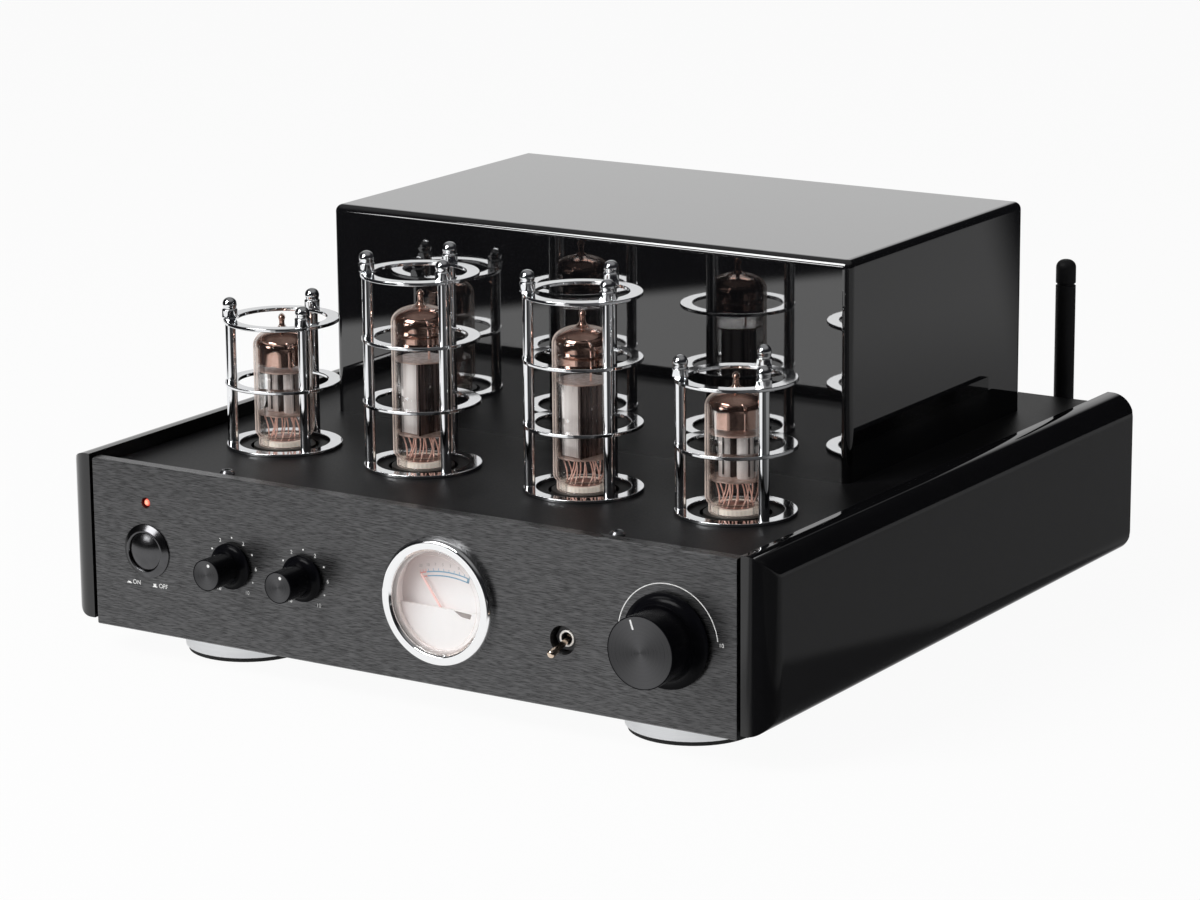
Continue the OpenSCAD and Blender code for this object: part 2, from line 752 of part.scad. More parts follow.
// Sheet tray: floor, side walls, front wall and the flange that the deck is screwed to
module chassis_tray() {
  color("#1c1c1e")
  difference() {
    union() {
      block(-tray_w / 2, wall_front, 0, [tray_w, case_d - wall_front, sheet_t]);
      for (x = [-tray_w / 2, wall_in]) {
        block(x, wall_front, 0, [sheet_t, case_d - wall_front, deck_under]);
      }
      block(-tray_w / 2, wall_front, 0, [tray_w, sheet_t, deck_under]);
      block(-wall_in, wall_front, deck_under - sheet_t, [2 * wall_in, flange_w, sheet_t]);
      for (p = amp_boss_at) at(p.x, p.y, 0) cylinder(r = boss_r, h = amp_low);
    }
    for (h = wall_holes) at(h.x, wall_front, h.y) sheet_hole(h.z, sheet_t);
    for (p = panel_screw_at) at(p.x, wall_back, p.y) to_back() screw_hole(sheet_t + over);
    for (i = [0, 1]) at(deck_screw_at[i].x, deck_screw_at[i].y, deck_h) screw_hole(deck_t + sheet_t + over);
    for (p = foot_at) at(p.x, p.y, sheet_t) screw_hole(sheet_t + over);
    for (p = amp_boss_at) at(p.x, p.y, amp_low) screw_hole(screw_grip + over);
    for (y = cheek_screw_depths) {
      at(tray_w / 2, y, cheek_screw_h) rotate([0, 90, 0]) screw_hole(tray_w + over);
    }
  }
}

// Deck plate with the tube openings, and the bosses that the tube board hangs on
module deck_plate() {
  color("#232325")
  difference() {
    union() {
      block(-tray_w / 2, panel_t, deck_under, [tray_w, case_d - panel_t, deck_t]);
      for (p = hang_at) {
        at(p.x, p.y, board_top) cylinder(r = boss_r, h = deck_under - board_top + deck_t / 2);
      }
    }
    for (x = tube_x) {
      at(x, row_depth, deck_under - over) cylinder(r = socket_r + socket_gap, h = deck_t + 2 * over);
    }
    for (p = deck_screw_at) at(p.x, p.y, deck_h) screw_hole(deck_t + over);
    for (p = cover_screw_at) at(p.x, p.y, deck_h) screw_hole(deck_t + over);
    for (x = tube_x) at(x, row_depth, deck_h) cage_places() screw_hole(deck_t + over);
    for (p = hang_at) at(p.x, p.y, board_top + screw_grip) screw_hole(screw_grip + over);
    at(toroid_x, cover_mid, deck_under - over) cylinder(r = bolt_r + screw_gap, h = deck_t + 2 * over);
  }
}

// Rear panel with the flange under the deck's back edge
module rear_panel() {
  color("#1c1c1e")
  difference() {
    union() {
      block(-wall_in, rear_in, sheet_t, [2 * wall_in, sheet_t, deck_under - sheet_t]);
      block(-wall_in, case_d - flange_w, deck_under - sheet_t, [2 * wall_in, flange_w, sheet_t]);
    }
    for (i = [2, 3]) at(deck_screw_at[i].x, deck_screw_at[i].y, deck_h) screw_hole(deck_t + sheet_t + over);
    at(aerial_x, rear_in, aerial_h) sheet_hole(barrel_r + slip_gap, sheet_t);
    for (s = [-1, 1]) at(line_x + s * line_pitch / 2, rear_in, rear_h) sheet_hole(line_r + slip_gap, sheet_t);
    for (x = speaker_x) at(x, rear_in, rear_h) sheet_hole(speaker_r + slip_gap, sheet_t);
    block(
      inlet_x - inlet_w / 2 - slip_gap, rear_in - over, rear_h - inlet_body_h / 2 - slip_gap,
      [inlet_w + 2 * slip_gap, sheet_t + 2 * over, inlet_body_h + 2 * slip_gap]
    );
  }
}

// Front panel: a thick plate with chamfered front edges and the controls' holes
module front_panel() {
  c = panel_chamfer;
  color("#2f2f31")
  difference() {
    at(-panel_w / 2, 0, 0) rotate([90, 0, 90]) linear_extrude(panel_w)
      polygon([[c, 0], [panel_t, 0], [panel_t, panel_h], [c, panel_h], [0, panel_h - c], [0, c]]);
    for (h = panel_holes) at(h.x, 0, h.y) sheet_hole(h.z, panel_t);
    for (p = panel_screw_at) at(p.x, panel_t, p.y) to_back() screw_hole(screw_grip + end_gap);
  }
}

// A side cheek: outer edges rounded along the top, the bottom and the front
module cheek(side) {
  height = panel_h + cheek_rise - cheek_low;
  r = cheek_r;
  section = concat(
    [[0, height], [0, 0]], arc([cheek_t - r, r], r, -90, 0), arc([cheek_t - r, height - r], r, 0, 90)
  );
  plan = concat([[0, cheek_d], [0, 0]], arc([cheek_t - r, r], r, -90, 0), [[cheek_t, cheek_d]]);
  color("#0c0c0d")
  difference() {
    at(side * tray_w / 2, 0, cheek_low) mirror([side < 0 ? 1 : 0, 0, 0]) intersection() {
      translate([0, cheek_d, 0]) rotate([90, 0, 0]) linear_extrude(cheek_d) polygon(section);
      linear_extrude(height) polygon(plan);
    }
    for (y = cheek_screw_depths) {
      at(side * (tray_w / 2 - over), y, cheek_screw_h) rotate([0, side * 90, 0])
        cylinder(r = screw_r + screw_gap, h = over + screw_grip + end_gap);
    }
  }
}

module left_cheek() {
  cheek(-1);
}

module right_cheek() {
  cheek(1);
}

// A box with round edges on its sides and its top, standing on the deck
module cover_form(w, d, h, r) {
  intersection() {
    linear_extrude(h) polygon(round_rect(w, d, r));
    translate([0, d / 2, 0]) rotate([90, 0, 0]) linear_extrude(d) polygon(round_top(w, h, r));
    translate([-w / 2, 0, 0]) rotate([90, 0, 90]) linear_extrude(w) polygon(round_top(d, h, r));
  }
}

// Cover over the transformer: a folded shell with a screw boss in each corner
module transformer_cover() {
  t = cover_wall;
  color("#0c0c0d")
  difference() {
    union() {
      at(0, cover_mid, deck_h) difference() {
        cover_form(cover_w, cover_d, cover_h, cover_r);
        translate([0, 0, -over])
          cover_form(cover_w - 2 * t, cover_d - 2 * t, cover_h - t + over, cover_r - t);
      }
      for (p = cover_screw_at) at(p.x, p.y, deck_h) cylinder(r = cover_boss_r, h = cover_boss_h);
    }
    for (p = cover_screw_at) at(p.x, p.y, deck_h) rotate([180, 0, 0]) screw_hole(screw_grip + end_gap);
  }
}

// Turned feet, drilled for their screws from below
module foot_shells() {
  top = foot_h;
  bore = screw_r + screw_gap;
  sink = screw_head_r + end_gap;
  color("#c9cbcf")
  for (p = foot_at) translate([p.x, front_y + p.y, 0]) rotate_extrude() polygon([
    [bore, top], [bore, foot_head], [sink, foot_head], [sink, pad_h],
    [foot_r - foot_taper, pad_h], [foot_r, top - foot_edge], [foot_r - foot_edge, top]
  ]);
}

// Rubber pads under the feet
module foot_pads() {
  color("#161616")
  for (p = foot_at) translate([p.x, front_y + p.y, 0]) difference() {
    cylinder(r = foot_r - foot_taper - pad_inset, h = pad_h);
    translate([0, 0, -over]) cylinder(r = screw_head_r + end_gap, h = pad_h + 2 * over);
  }
}

// The screws that hold the deck down
module deck_screws() {
  color("#3a3a3c")
  for (p = deck_screw_at) at(p.x, p.y, deck_h) screw(deck_t + sheet_t);
}

// The hidden screws of the feet, the cheeks, the front panel, the cover and the boards
module case_screws() {
  color("#8a8c90") {
    for (p = foot_at) {
      translate([p.x, front_y + p.y, foot_head]) rotate([180, 0, 0]) screw(foot_web + sheet_t);
    }
    for (p = panel_screw_at) at(p.x, wall_back, p.y) to_back() screw(sheet_t + screw_grip);
    for (side = [-1, 1]) for (y = cheek_screw_depths) {
      at(side * wall_in, y, cheek_screw_h) rotate([0, -side * 90, 0]) screw(sheet_t + screw_grip);
    }
    for (p = cover_screw_at) at(p.x, p.y, deck_under) rotate([180, 0, 0]) screw(deck_t + screw_grip);
    for (p = hang_at) at(p.x, p.y, board_top - board_t) rotate([180, 0, 0]) screw(board_t + screw_grip);
    for (p = amp_boss_at) at(p.x, p.y, amp_top) screw(board_t + screw_grip);
  }
}

// Board under the tube sockets
module tube_board() {
  color("#2e5a3a")
  difference() {
    block(
      -tube_board_w / 2, row_depth - tube_board_d / 2, board_top - board_t,
      [tube_board_w, tube_board_d, board_t]
    );
    for (p = hang_at) at(p.x, p.y, board_top) screw_hole(board_t + over);
  }
}

// Places nine pins on ten steps of a circle
module pin_places() {
  for (i = [1:9]) rotate(i * 360 / 10 - 90) translate([pin_circle_r, 0, 0]) children();
}

// Moulded sockets that stand on the board and come up through the deck
module tube_sockets() {
  color("#241f1d")
  for (x = tube_x) at(x, row_depth, socket_low) difference() {
    cylinder(r = socket_r, h = socket_h);
    translate([0, 0, -over]) cylinder(r = socket_bore_r, h = socket_h + 2 * over);
    translate([0, 0, socket_h - pin_len - end_gap]) pin_places()
      cylinder(r = pin_r + slip_gap, h = pin_len + end_gap + over, $fn = wire_fn);
  }
}

// A glass envelope, open below, with its dome and its sealed tip
module envelope(x, height) {
  r = tube_r;
  dome_top = height - tip_h - neck_h;
  shoulder = dome_top - dome_h;
  corner = shoulder + dome_corner;
  slope = (dome_top - corner) / (r - neck_r);
  r_in = r - glass_wall;
  edge = glass_wall / 2;
  outer = concat(
    [[r - edge, 0], [r, edge], [r, shoulder]],
    bend([r, shoulder], [r, corner], [neck_r, dome_top]),
    bend([neck_r, dome_top], [tip_r, dome_top + slope * (neck_r - tip_r)], [tip_r, dome_top + neck_h]),
    arc([0, height - tip_top_r], tip_top_r, 0, 90)
  );
  top = [0, dome_top - edge];
  inner = concat([top], bend(top, [r_in, corner - glass_wall], [r_in, shoulder]));
  color([0.85, 0.8, 0.75, 0.4])
  at(x, row_depth, socket_top) rotate_extrude() polygon(concat(outer, inner, [[r_in, 0]]));
}

module left_driver_glass() {
  envelope(-driver_x, driver_h);
}

module left_power_glass() {
  envelope(-power_x, power_h);
}

module right_power_glass() {
  envelope(power_x, power_h);
}

module right_driver_glass() {
  envelope(driver_x, driver_h);
}

// Stem, support wires, mica discs and getter ring round a set of plates
module electrode_set(x, plate_h) {
  low = stem_t + mica_lift;
  high = low + mica_t + plate_h;
  at(x, row_depth, socket_top) {
    cylinder(r = stem_r, h = stem_t);
    for (a = [45:90:315]) rotate(a) translate([pin_circle_r, 0, 0])
      cylinder(r = wire_r, h = low + mica_t / 2, $fn = wire_fn);
    for (z = [low, high]) translate([0, 0, z]) cylinder(r = mica_r, h = mica_t);
    translate([0, 0, low + mica_t / 2]) children();
    translate([getter_r, 0, high]) cylinder(r = wire_r, h = mica_t + getter_lift, $fn = wire_fn);
    translate([0, 0, high + mica_t + getter_lift]) rotate_extrude()
      translate([getter_r, 0]) circle(r = 2 * wire_r, $fn = wire_fn);
  }
}

// The two driver tubes: a pair of plates side by side
module driver_electrodes() {
  plate_w = mica_r - plate_margin;
  color("#6f6a64")
  for (x = [-driver_x, driver_x]) electrode_set(x, driver_plate_h) {
    for (s = [-1, 1]) translate([s * (plate_w / 2 + wire_r), 0, 0])
      linear_extrude(driver_plate_h + mica_t) polygon(stadium(plate_w, plate_t));
  }
}

// The two power tubes: one broad plate
module power_electrodes() {
  color("#6f6a64")
  for (x = [-power_x, power_x]) electrode_set(x, power_plate_h) rotate(power_plate_turn)
    linear_extrude(power_plate_h + mica_t)
      polygon(round_rect(power_plate_w, power_plate_d, power_plate_edge));
}

// Nine pins under each stem
module tube_pins() {
  color("#b9bbbf")
  for (x = tube_x) at(x, row_depth, socket_top - pin_len) pin_places()
    cylinder(r = pin_r, h = pin_len, $fn = wire_fn);
}

// Places the three posts of a cage
module cage_places() {
  for (a = post_angles) rotate(a) translate([post_circle_r, 0, 0]) children();
}

// The rings of one cage, drilled for the posts' studs
module cage_rings(i) {
  color("#d8dade")
  for (level = [0:tube_tiers[i]]) at(tube_x[i], row_depth, deck_h + level * level_h) difference() {
    cylinder(r = ring_r, h = ring_t);
    translate([0, 0, -over]) cylinder(r = ring_r - ring_w, h = ring_t + 2 * over);
    translate([0, 0, -over]) cage_places() cylinder(r = stud_r + screw_gap, h = ring_t + 2 * over);
  }
}

module left_driver_rings() {
  cage_rings(0);
}

module left_power_rings() {
  cage_rings(1);
}

module right_power_rings() {
  cage_rings(2);
}

module right_driver_rings() {
  cage_rings(3);
}

// One post with the stud on its top and the hole for the stud below
module cage_post() {
  difference() {
    union() {
      cylinder(r = post_r, h = tier_h);
      cylinder(r = stud_r, h = tier_h + ring_t + stud_grip);
    }
    translate([0, 0, -over]) cylinder(r = stud_r + screw_gap, h = stud_grip + end_gap + over);
  }
}

// The posts between the rings of all four cages
module cage_posts() {
  color("#d8dade")
  for (i = [0:3]) for (tier = [0:tube_tiers[i] - 1]) {
    at(tube_x[i], row_depth, deck_h + tier * level_h + ring_t) cage_places() cage_post();
  }
}

// Acorn finials on the top rings
module cage_finials() {
  hole_r = stud_r + screw_gap;
  hole_h = stud_grip + end_gap;
  dome_z = finial_collar_h + finial_neck_h;
  color("#d8dade")
  for (i = [0:3]) at(tube_x[i], row_depth, deck_h + tube_tiers[i] * level_h + ring_t) cage_places()
    rotate_extrude() polygon(concat(
      [[hole_r, 0], [finial_r - finial_foot, 0], [finial_r, finial_foot]],
      [[finial_r, finial_collar_h - finial_slope], [finial_dome_r, finial_collar_h]],
      arc([0, dome_z], finial_dome_r, 0, 90), [[0, hole_h], [hole_r, hole_h]]
    ));
}

// Screws from under the deck into the lowest posts
module cage_screws() {
  color("#8a8c90")
  for (x = tube_x) at(x, row_depth, deck_under) cage_places() rotate([180, 0, 0]) {
    cylinder(r = screw_head_r, h = screw_head_h);
    translate([0, 0, -deck_t - ring_t - stud_grip]) cylinder(r = stud_r, h = deck_t + ring_t + stud_grip);
  }
}

// Round bezel of the power button, with its sleeve through the panel
module power_bezel() {
  edge = button_bezel_edge;
  slope = [
    for (i = [0:arc_steps]) let (a = 90 * i / arc_steps) [
      button_bezel_r - button_bezel_slope * (1 - cos(a)), edge + (button_bezel_out - edge) * sin(a)
    ]
  ];
  color("#101011")
  at(power_button_x, 0, control_h) turned(concat(
    [[bezel_bore, -panel_t], [bezel_sleeve_r, -panel_t], [bezel_sleeve_r, 0], [button_bezel_r, 0]],
    slope, [[bezel_bore, button_bezel_out]]
  ));
}

// Power button: a domed cap on a stem that runs in the switch
module power_button() {
  back = button_out - button_cap_d;
  dome = [
    for (i = [0:arc_steps]) let (a = 90 * i / arc_steps)
      [button_r * cos(a), button_out + button_dome * sin(a)]
  ];
  color("#141415")
  at(power_button_x, 0, control_h) turned(concat(
    [[0, -button_stem_end], [button_stem_r, -button_stem_end], [button_stem_r, back], [button_r, back]],
    dome
  ));
}

// Latching power switch behind the tray's front wall
module power_switch() {
  color("#2a2a2c")
  difference() {
    block(
      power_button_x - switch_w / 2, wall_back, control_h - switch_w / 2, [switch_w, switch_d, switch_w]
    );
    at(power_button_x, wall_back - over, control_h) to_back()
      cylinder(r = button_stem_r + run_gap, h = over + button_stem_grip + button_press + end_gap);
  }
}

// Power lamp, seated on the back of the tray's front wall
module power_lamp() {
  base_r = lamp_r + lamp_rim;
  base_end = -wall_back - lamp_base_d;
  color("#e02818")
  at(power_button_x, 0, lamp_h) turned(concat(
    [[0, base_end], [base_r, base_end], [base_r, -wall_back], [lamp_r, -wall_back]],
    arc([0, -lamp_r - lamp_sink], lamp_r, 0, 90)
  ));
}

// A skirted knob with a hollow curve above the skirt and a blind bore for its shaft
module knob(x, skirt_r, face_r, out) {
  bore = shaft_r + slip_gap / 2;
  bore_end = out - knob_cap_t;
  skirt_top = knob_gap + skirt_t;
  flare = [
    for (i = [0:arc_steps]) let (a = 90 * i / arc_steps)
      [skirt_r - (skirt_r - face_r) * sin(a), skirt_top + flare_h * (1 - cos(a))]
  ];
  color("#161617")
  at(x, 0, control_h) turned(concat(
    [[0, bore_end], [bore, bore_end], [bore, knob_gap]],
    [[skirt_r - knob_foot, knob_gap], [skirt_r, knob_gap + knob_foot]],
    flare, [[face_r, out - knob_edge], [face_r - knob_edge, out], [0, out]]
  ));
}

// A control's shaft, from inside its body into its knob
module shaft(x, out) {
  length = wall_back + pot_d - 2 * end_gap - pot_wall + out - knob_cap_t - slip_gap;
  color("#b5b7ba")
  at(x, -(out - knob_cap_t - slip_gap), control_h) to_back() cylinder(r = shaft_r, h = length);
}

module treble_knob() {
  knob(treble_x, tone_skirt_r, tone_face_r, tone_out);
}

module treble_shaft() {
  shaft(treble_x, tone_out);
}

module bass_knob() {
  knob(bass_x, tone_skirt_r, tone_face_r, tone_out);
}

module bass_shaft() {
  shaft(bass_x, tone_out);
}

module volume_knob() {
  knob(volume_x, volume_skirt_r, volume_face_r, volume_out);
}

module volume_shaft() {
  shaft(volume_x, volume_out);
}

// Bodies of the three rotary controls, with the threaded bushes that the shafts run in
module control_pots() {
  color("#9a9ca0")
  for (p = pots) at(p.x, 0, control_h) difference() {
    union() {
      translate([0, wall_back, 0]) to_back() cylinder(r = p.y, h = pot_d);
      translate([0, knob_gap, 0]) to_back() cylinder(r = bush_r, h = wall_back + pot_d / 2);
    }
    to_back() cylinder(r = shaft_r + run_gap, h = wall_back + pot_d - end_gap - pot_wall);
  }
}

// Hexagon nuts on the bushes, in the panel's holes
module control_nuts() {
  color("#c2c4c8") {
    for (p = pots) at(p.x, wall_front - nut_t, control_h) to_back() difference() {
      cylinder(r = nut_r, h = nut_t, $fn = 6);
      translate([0, 0, -over]) cylinder(r = bush_r + slip_gap, h = nut_t + 2 * over);
    }
    at(source_x, wall_front - nut_t, source_h) to_back() difference() {
      cylinder(r = recess_r - nut_gap, h = nut_t, $fn = 6);
      translate([0, 0, -over]) cylinder(r = lever_bush_r + slip_gap, h = nut_t + 2 * over);
    }
  }
}

// Source switch: its body behind the wall and the bush round the lever
module source_switch() {
  color("#b9a878")
  difference() {
    union() {
      block(
        source_x - source_w / 2, wall_back, source_h - source_body_h / 2,
        [source_w, source_d, source_body_h]
      );
      at(source_x, lever_bush_depth, source_h) to_back()
        cylinder(r = lever_bush_r, h = wall_back + source_d / 2);
    }
    at(source_x, -over, source_h) to_back()
      cylinder(r = lever_ball_r + run_gap, h = over + lever_pivot + lever_ball_r + end_gap);
  }
}

// Lever of the source switch, at rest tilted down
module source_lever() {
  color("#c9c3b2")
  at(source_x, lever_pivot, source_h) rotate([lever_tilt, 0, 0]) {
    sphere(r = lever_ball_r);
    to_front() cylinder(r1 = lever_neck_r, r2 = lever_tip_r, h = lever_len - lever_tip_r);
    translate([0, lever_tip_r - lever_len, 0]) sphere(r = lever_tip_r);
  }
}

// Chrome bezel that holds the lens on the meter's case
module meter_bezel() {
  seat = bezel_out - bezel_lip;
  color("#d8dade")
  at(meter_x, 0, control_h) turned([
    [meter_case_r + slip_gap, 0], [bezel_r, 0], [bezel_r, bezel_out - bezel_edge],
    [bezel_r - bezel_edge, bezel_out], [bezel_bore_r + bezel_bore_edge, bezel_out],
    [bezel_bore_r, bezel_out - bezel_bore_edge], [bezel_bore_r, seat], [meter_case_r + slip_gap, seat]
  ]);
}

// Cup-shaped case of the meter
module meter_case() {
  r_in = meter_case_r - meter_wall;
  color("#1a1a1b")
  at(meter_x, 0, control_h) turned([
    [0, -meter_d], [meter_case_r, -meter_d], [meter_case_r, -case_front], [r_in, -case_front],
    [r_in, meter_wall - meter_d], [0, meter_wall - meter_d]
  ]);
}

// Flat lens between the case and the bezel's lip
module meter_lens() {
  color([0.9, 0.93, 0.95, 0.3])
  at(meter_x, case_front, control_h) to_front() cylinder(r = lens_r, h = lens_t);
}

// Dial with the mask in front of its lower half
module meter_dial() {
  mask_back = mask_depth + mask_t;
  color("#f2ecdf") {
    at(meter_x, dial_depth, control_h) difference() {
      to_back() cylinder(r = dial_r, h = dial_t);
      translate([0, -over, -needle_low]) to_back() cylinder(r = pivot_r + end_gap, h = dial_t + 2 * over);
    }
    intersection() {
      at(meter_x, mask_depth, control_h) to_back() cylinder(r = dial_r, h = mask_t);
      block(
        meter_x - dial_r, mask_depth - over, control_h - mask_low - 2 * dial_r,
        [2 * dial_r, 2 * over + mask_t, 2 * dial_r]
      );
    }
    for (s = [-1, 1]) {
      at(meter_x + s * spacer_x, mask_back - mask_t / 2, control_h - spacer_low) to_back()
        cylinder(r = spacer_r, h = dial_depth - mask_back + (mask_t + dial_t) / 2);
    }
  }
}

// Needle with its hub and the pivot pin that runs in the movement
module meter_needle() {
  pin_d = dial_depth + dial_t + pivot_grip - needle_depth;
  color("#c0281e")
  at(meter_x, needle_depth, pivot_h) rotate([0, -needle_rest, 0]) {
    to_back() cylinder(r = pivot_r, h = pin_d);
    to_back() cylinder(r = hub_r, h = needle_t);
    translate([-needle_w / 2, 0, 0]) cube([needle_w, needle_t, needle_len]);
  }
}

// Magnet and coil block between the dial and the back of the meter's case
module meter_movement() {
  color("#5c5d60")
  difference() {
    at(meter_x, dial_depth + dial_t, control_h) to_back()
      cylinder(r = movement_r, h = meter_d - meter_wall - dial_depth - dial_t);
    at(meter_x, dial_depth, pivot_h) to_back()
      cylinder(r = pivot_r + run_gap, h = dial_t + pivot_grip + end_gap);
  }
}

// Threaded aerial socket in the rear panel
module aerial_socket() {
  color("#c8b26a")
  at(aerial_x, case_d, aerial_h) turned_back([
    [0, -aerial_inner], [barrel_r, -aerial_inner], [barrel_r, 0], [aerial_flange_r, 0],
    [aerial_flange_r, aerial_flange_t], [barrel_r, aerial_flange_t], [barrel_r, barrel_len], [0, barrel_len]
  ]);
}

// Swivelling knuckle: a sleeve on the socket and two ears with the hinge pin
module aerial_knuckle() {
  start = aerial_flange_t + hinge_gap;
  ear_x = tongue_t / 2 + hinge_gap;
  ear_r = knuckle_r - hinge_inset;
  ear_w = knuckle_r - ear_x;
  color("#1a1a1b")
  at(aerial_x, case_d, aerial_h) {
    difference() {
      translate([0, start, 0]) to_back() cylinder(r = knuckle_r, h = web_back - start);
      to_back() cylinder(r = barrel_r + run_gap, h = barrel_len + end_gap / 2);
    }
    for (s = [0, 1]) mirror([s, 0, 0]) {
      translate([ear_x, whip_out, 0]) rotate([0, 90, 0]) cylinder(r = ear_r, h = ear_w);
      translate([ear_x, web_back - ear_root, -ear_r])
        cube([ear_w, whip_out - web_back + ear_root, 2 * ear_r]);
    }
    translate([-knuckle_r, whip_out, 0]) rotate([0, 90, 0]) cylinder(r = hinge_r, h = 2 * knuckle_r);
  }
}

// Whip: a tongue between the knuckle's ears and a round rod with a groove near its tip
module aerial_whip() {
  rod_z = knuckle_r + hinge_gap;
  groove_z = whip_len - groove_drop;
  tip = whip_tip_r;
  tongue_r = whip_r - hinge_inset;
  color("#1a1a1b")
  at(aerial_x, case_d + whip_out, aerial_h) difference() {
    union() {
      translate([-tongue_t / 2, 0, 0]) rotate([0, 90, 0]) cylinder(r = tongue_r, h = tongue_t);
      translate([-tongue_t / 2, -tongue_r, 0]) cube([tongue_t, 2 * tongue_r, rod_z + over]);
      rotate_extrude() polygon(concat(
        [[0, rod_z], [whip_r, rod_z], [whip_r, groove_z - groove_w / 2]],
        [[whip_r - groove_depth, groove_z - groove_w / 4], [whip_r - groove_depth, groove_z + groove_w / 4]],
        [[whip_r, groove_z + groove_w / 2]], arc([whip_r - tip, whip_len - tip], tip, 0, 90), [[0, whip_len]]
      ));
    }
    translate([-knuckle_r, 0, 0]) rotate([0, 90, 0]) cylinder(r = hinge_r + run_gap, h = 2 * knuckle_r);
  }
}

// The pair of line sockets
module line_sockets() {
  color("#cfae5a")
  for (s = [-1, 1]) at(line_x + s * line_pitch / 2, case_d, rear_h) turned_back([
    [0, -line_inner], [line_r, -line_inner], [line_r, 0], [line_flange_r, 0],
    [line_flange_r, rear_flange_t], [line_r, rear_flange_t], [line_r, line_out],
    [line_hole_r, line_out], [line_hole_r, rear_flange_t], [0, rear_flange_t]
  ]);
}

// Speaker posts with their insulating bases and the holes for plugs
module speaker_posts() {
  color("#cfae5a")
  for (x = speaker_x) at(x, case_d, rear_h) turned_back([
    [0, -speaker_inner], [speaker_r, -speaker_inner], [speaker_r, 0], [speaker_base_r, 0],
    [speaker_base_r, speaker_base_t], [speaker_r, speaker_base_t], [speaker_r, speaker_out],
    [plug_r, speaker_out], [plug_r, speaker_out - plug_d], [0, speaker_out - plug_d]
  ]);
}

// A cap that turns on a speaker post
module speaker_cap(i, tint) {
  low = speaker_base_t + hinge_gap;
  high = low + cap_len;
  color(tint)
  at(speaker_x[i], case_d, rear_h) turned_back([
    [speaker_r + run_gap, low], [cap_r - cap_edge, low], [cap_r, low + cap_edge],
    [cap_r, high - cap_edge], [cap_r - cap_edge, high], [speaker_r + run_gap, high]
  ]);
}

module left_plus_cap() {
  speaker_cap(0, "#b3202a");
}

module left_minus_cap() {
  speaker_cap(1, "#1a1a1b");
}

module right_plus_cap() {
  speaker_cap(2, "#b3202a");
}

module right_minus_cap() {
  speaker_cap(3, "#1a1a1b");
}

// Mains inlet: flange, body, cavity and the three blades
module mains_inlet() {
  flange_w_all = inlet_w + 2 * inlet_border;
  flange_h_all = inlet_body_h + 2 * inlet_border;
  mouth = rear_flange_t;
  low = rear_h - inlet_body_h / 2;
  back = inlet_wall - inlet_d;
  color("#151516") {
    difference() {
      union() {
        block(inlet_x - inlet_w / 2, case_d - inlet_d, low, [inlet_w, inlet_d, inlet_body_h]);
        block(inlet_x - flange_w_all / 2, case_d, low - inlet_border, [flange_w_all, mouth, flange_h_all]);
      }
      block(
        inlet_x - inlet_w / 2 + inlet_wall, case_d + back, low + inlet_wall,
        [inlet_w - 2 * inlet_wall, mouth - back + over, inlet_body_h - 2 * inlet_wall]
      );
    }
    for (p = [[-blade_x, 0], [0, blade_step], [blade_x, 0]]) {
      block(
        inlet_x + p.x - blade_t / 2, case_d + back - inlet_wall / 2,
        rear_h - blade_step / 2 + p.y - blade_w / 2, [blade_t, blade_len + inlet_wall / 2, blade_w]
      );
    }
  }
}

// Ring transformer with its clamp plate and the bolt through the deck
module power_transformer() {
  top = deck_h + toroid_h;
  w = toroid_r - toroid_hole_r;
  bolt_low = deck_under - bolt_head_h;
  bolt_high = top + clamp_t;
  color("#b8862e")
  at(toroid_x, cover_mid, 0) {
    translate([0, 0, deck_h]) rotate_extrude() translate([toroid_hole_r + w / 2, toroid_h / 2])
      polygon(round_rect(w, toroid_h, toroid_edge_r));
    translate([0, 0, top]) cylinder(r = clamp_r, h = clamp_t);
    for (z = [bolt_low, bolt_high]) translate([0, 0, z]) cylinder(r = bolt_head_r, h = bolt_head_h);
    translate([0, 0, bolt_low]) cylinder(r = bolt_r, h = bolt_high - bolt_low + bolt_head_h);
  }
}

// Amplifier board on the tray's bosses
module amp_board() {
  color("#2e5a3a")
  difference() {
    block(amp_x - amp_w / 2, amp_front, amp_low, [amp_w, amp_d, board_t]);
    for (p = amp_boss_at) at(p.x, p.y, amp_top) screw_hole(board_t + over);
  }
}

// Heat sink, filter capacitors and wireless module on the amplifier board
module amp_components() {
  fins = floor((sink_w - fin_t) / fin_pitch);
  sink_front = amp_front + board_inset + screw_head_r + part_gap;
  capacitor_depth = amp_front + amp_d - board_inset - screw_head_r - capacitor_r - part_gap;
  color("#7d8084") {
    block(amp_x - sink_w / 2, sink_front, amp_top, [sink_w, fin_t, sink_h]);
    for (i = [0:fins]) {
      block(amp_x - sink_w / 2 + i * fin_pitch, sink_front, amp_top, [fin_t, sink_d, sink_h]);
    }
    for (i = [-1.5:1:1.5]) at(amp_x - module_w / 2 + i * capacitor_pitch, capacitor_depth, amp_top)
      cylinder(r = capacitor_r, h = capacitor_h);
    block(
      amp_x + amp_w / 2 - module_w - part_gap, capacitor_depth - module_d, amp_top,
      [module_w, module_d, module_h]
    );
  }
}

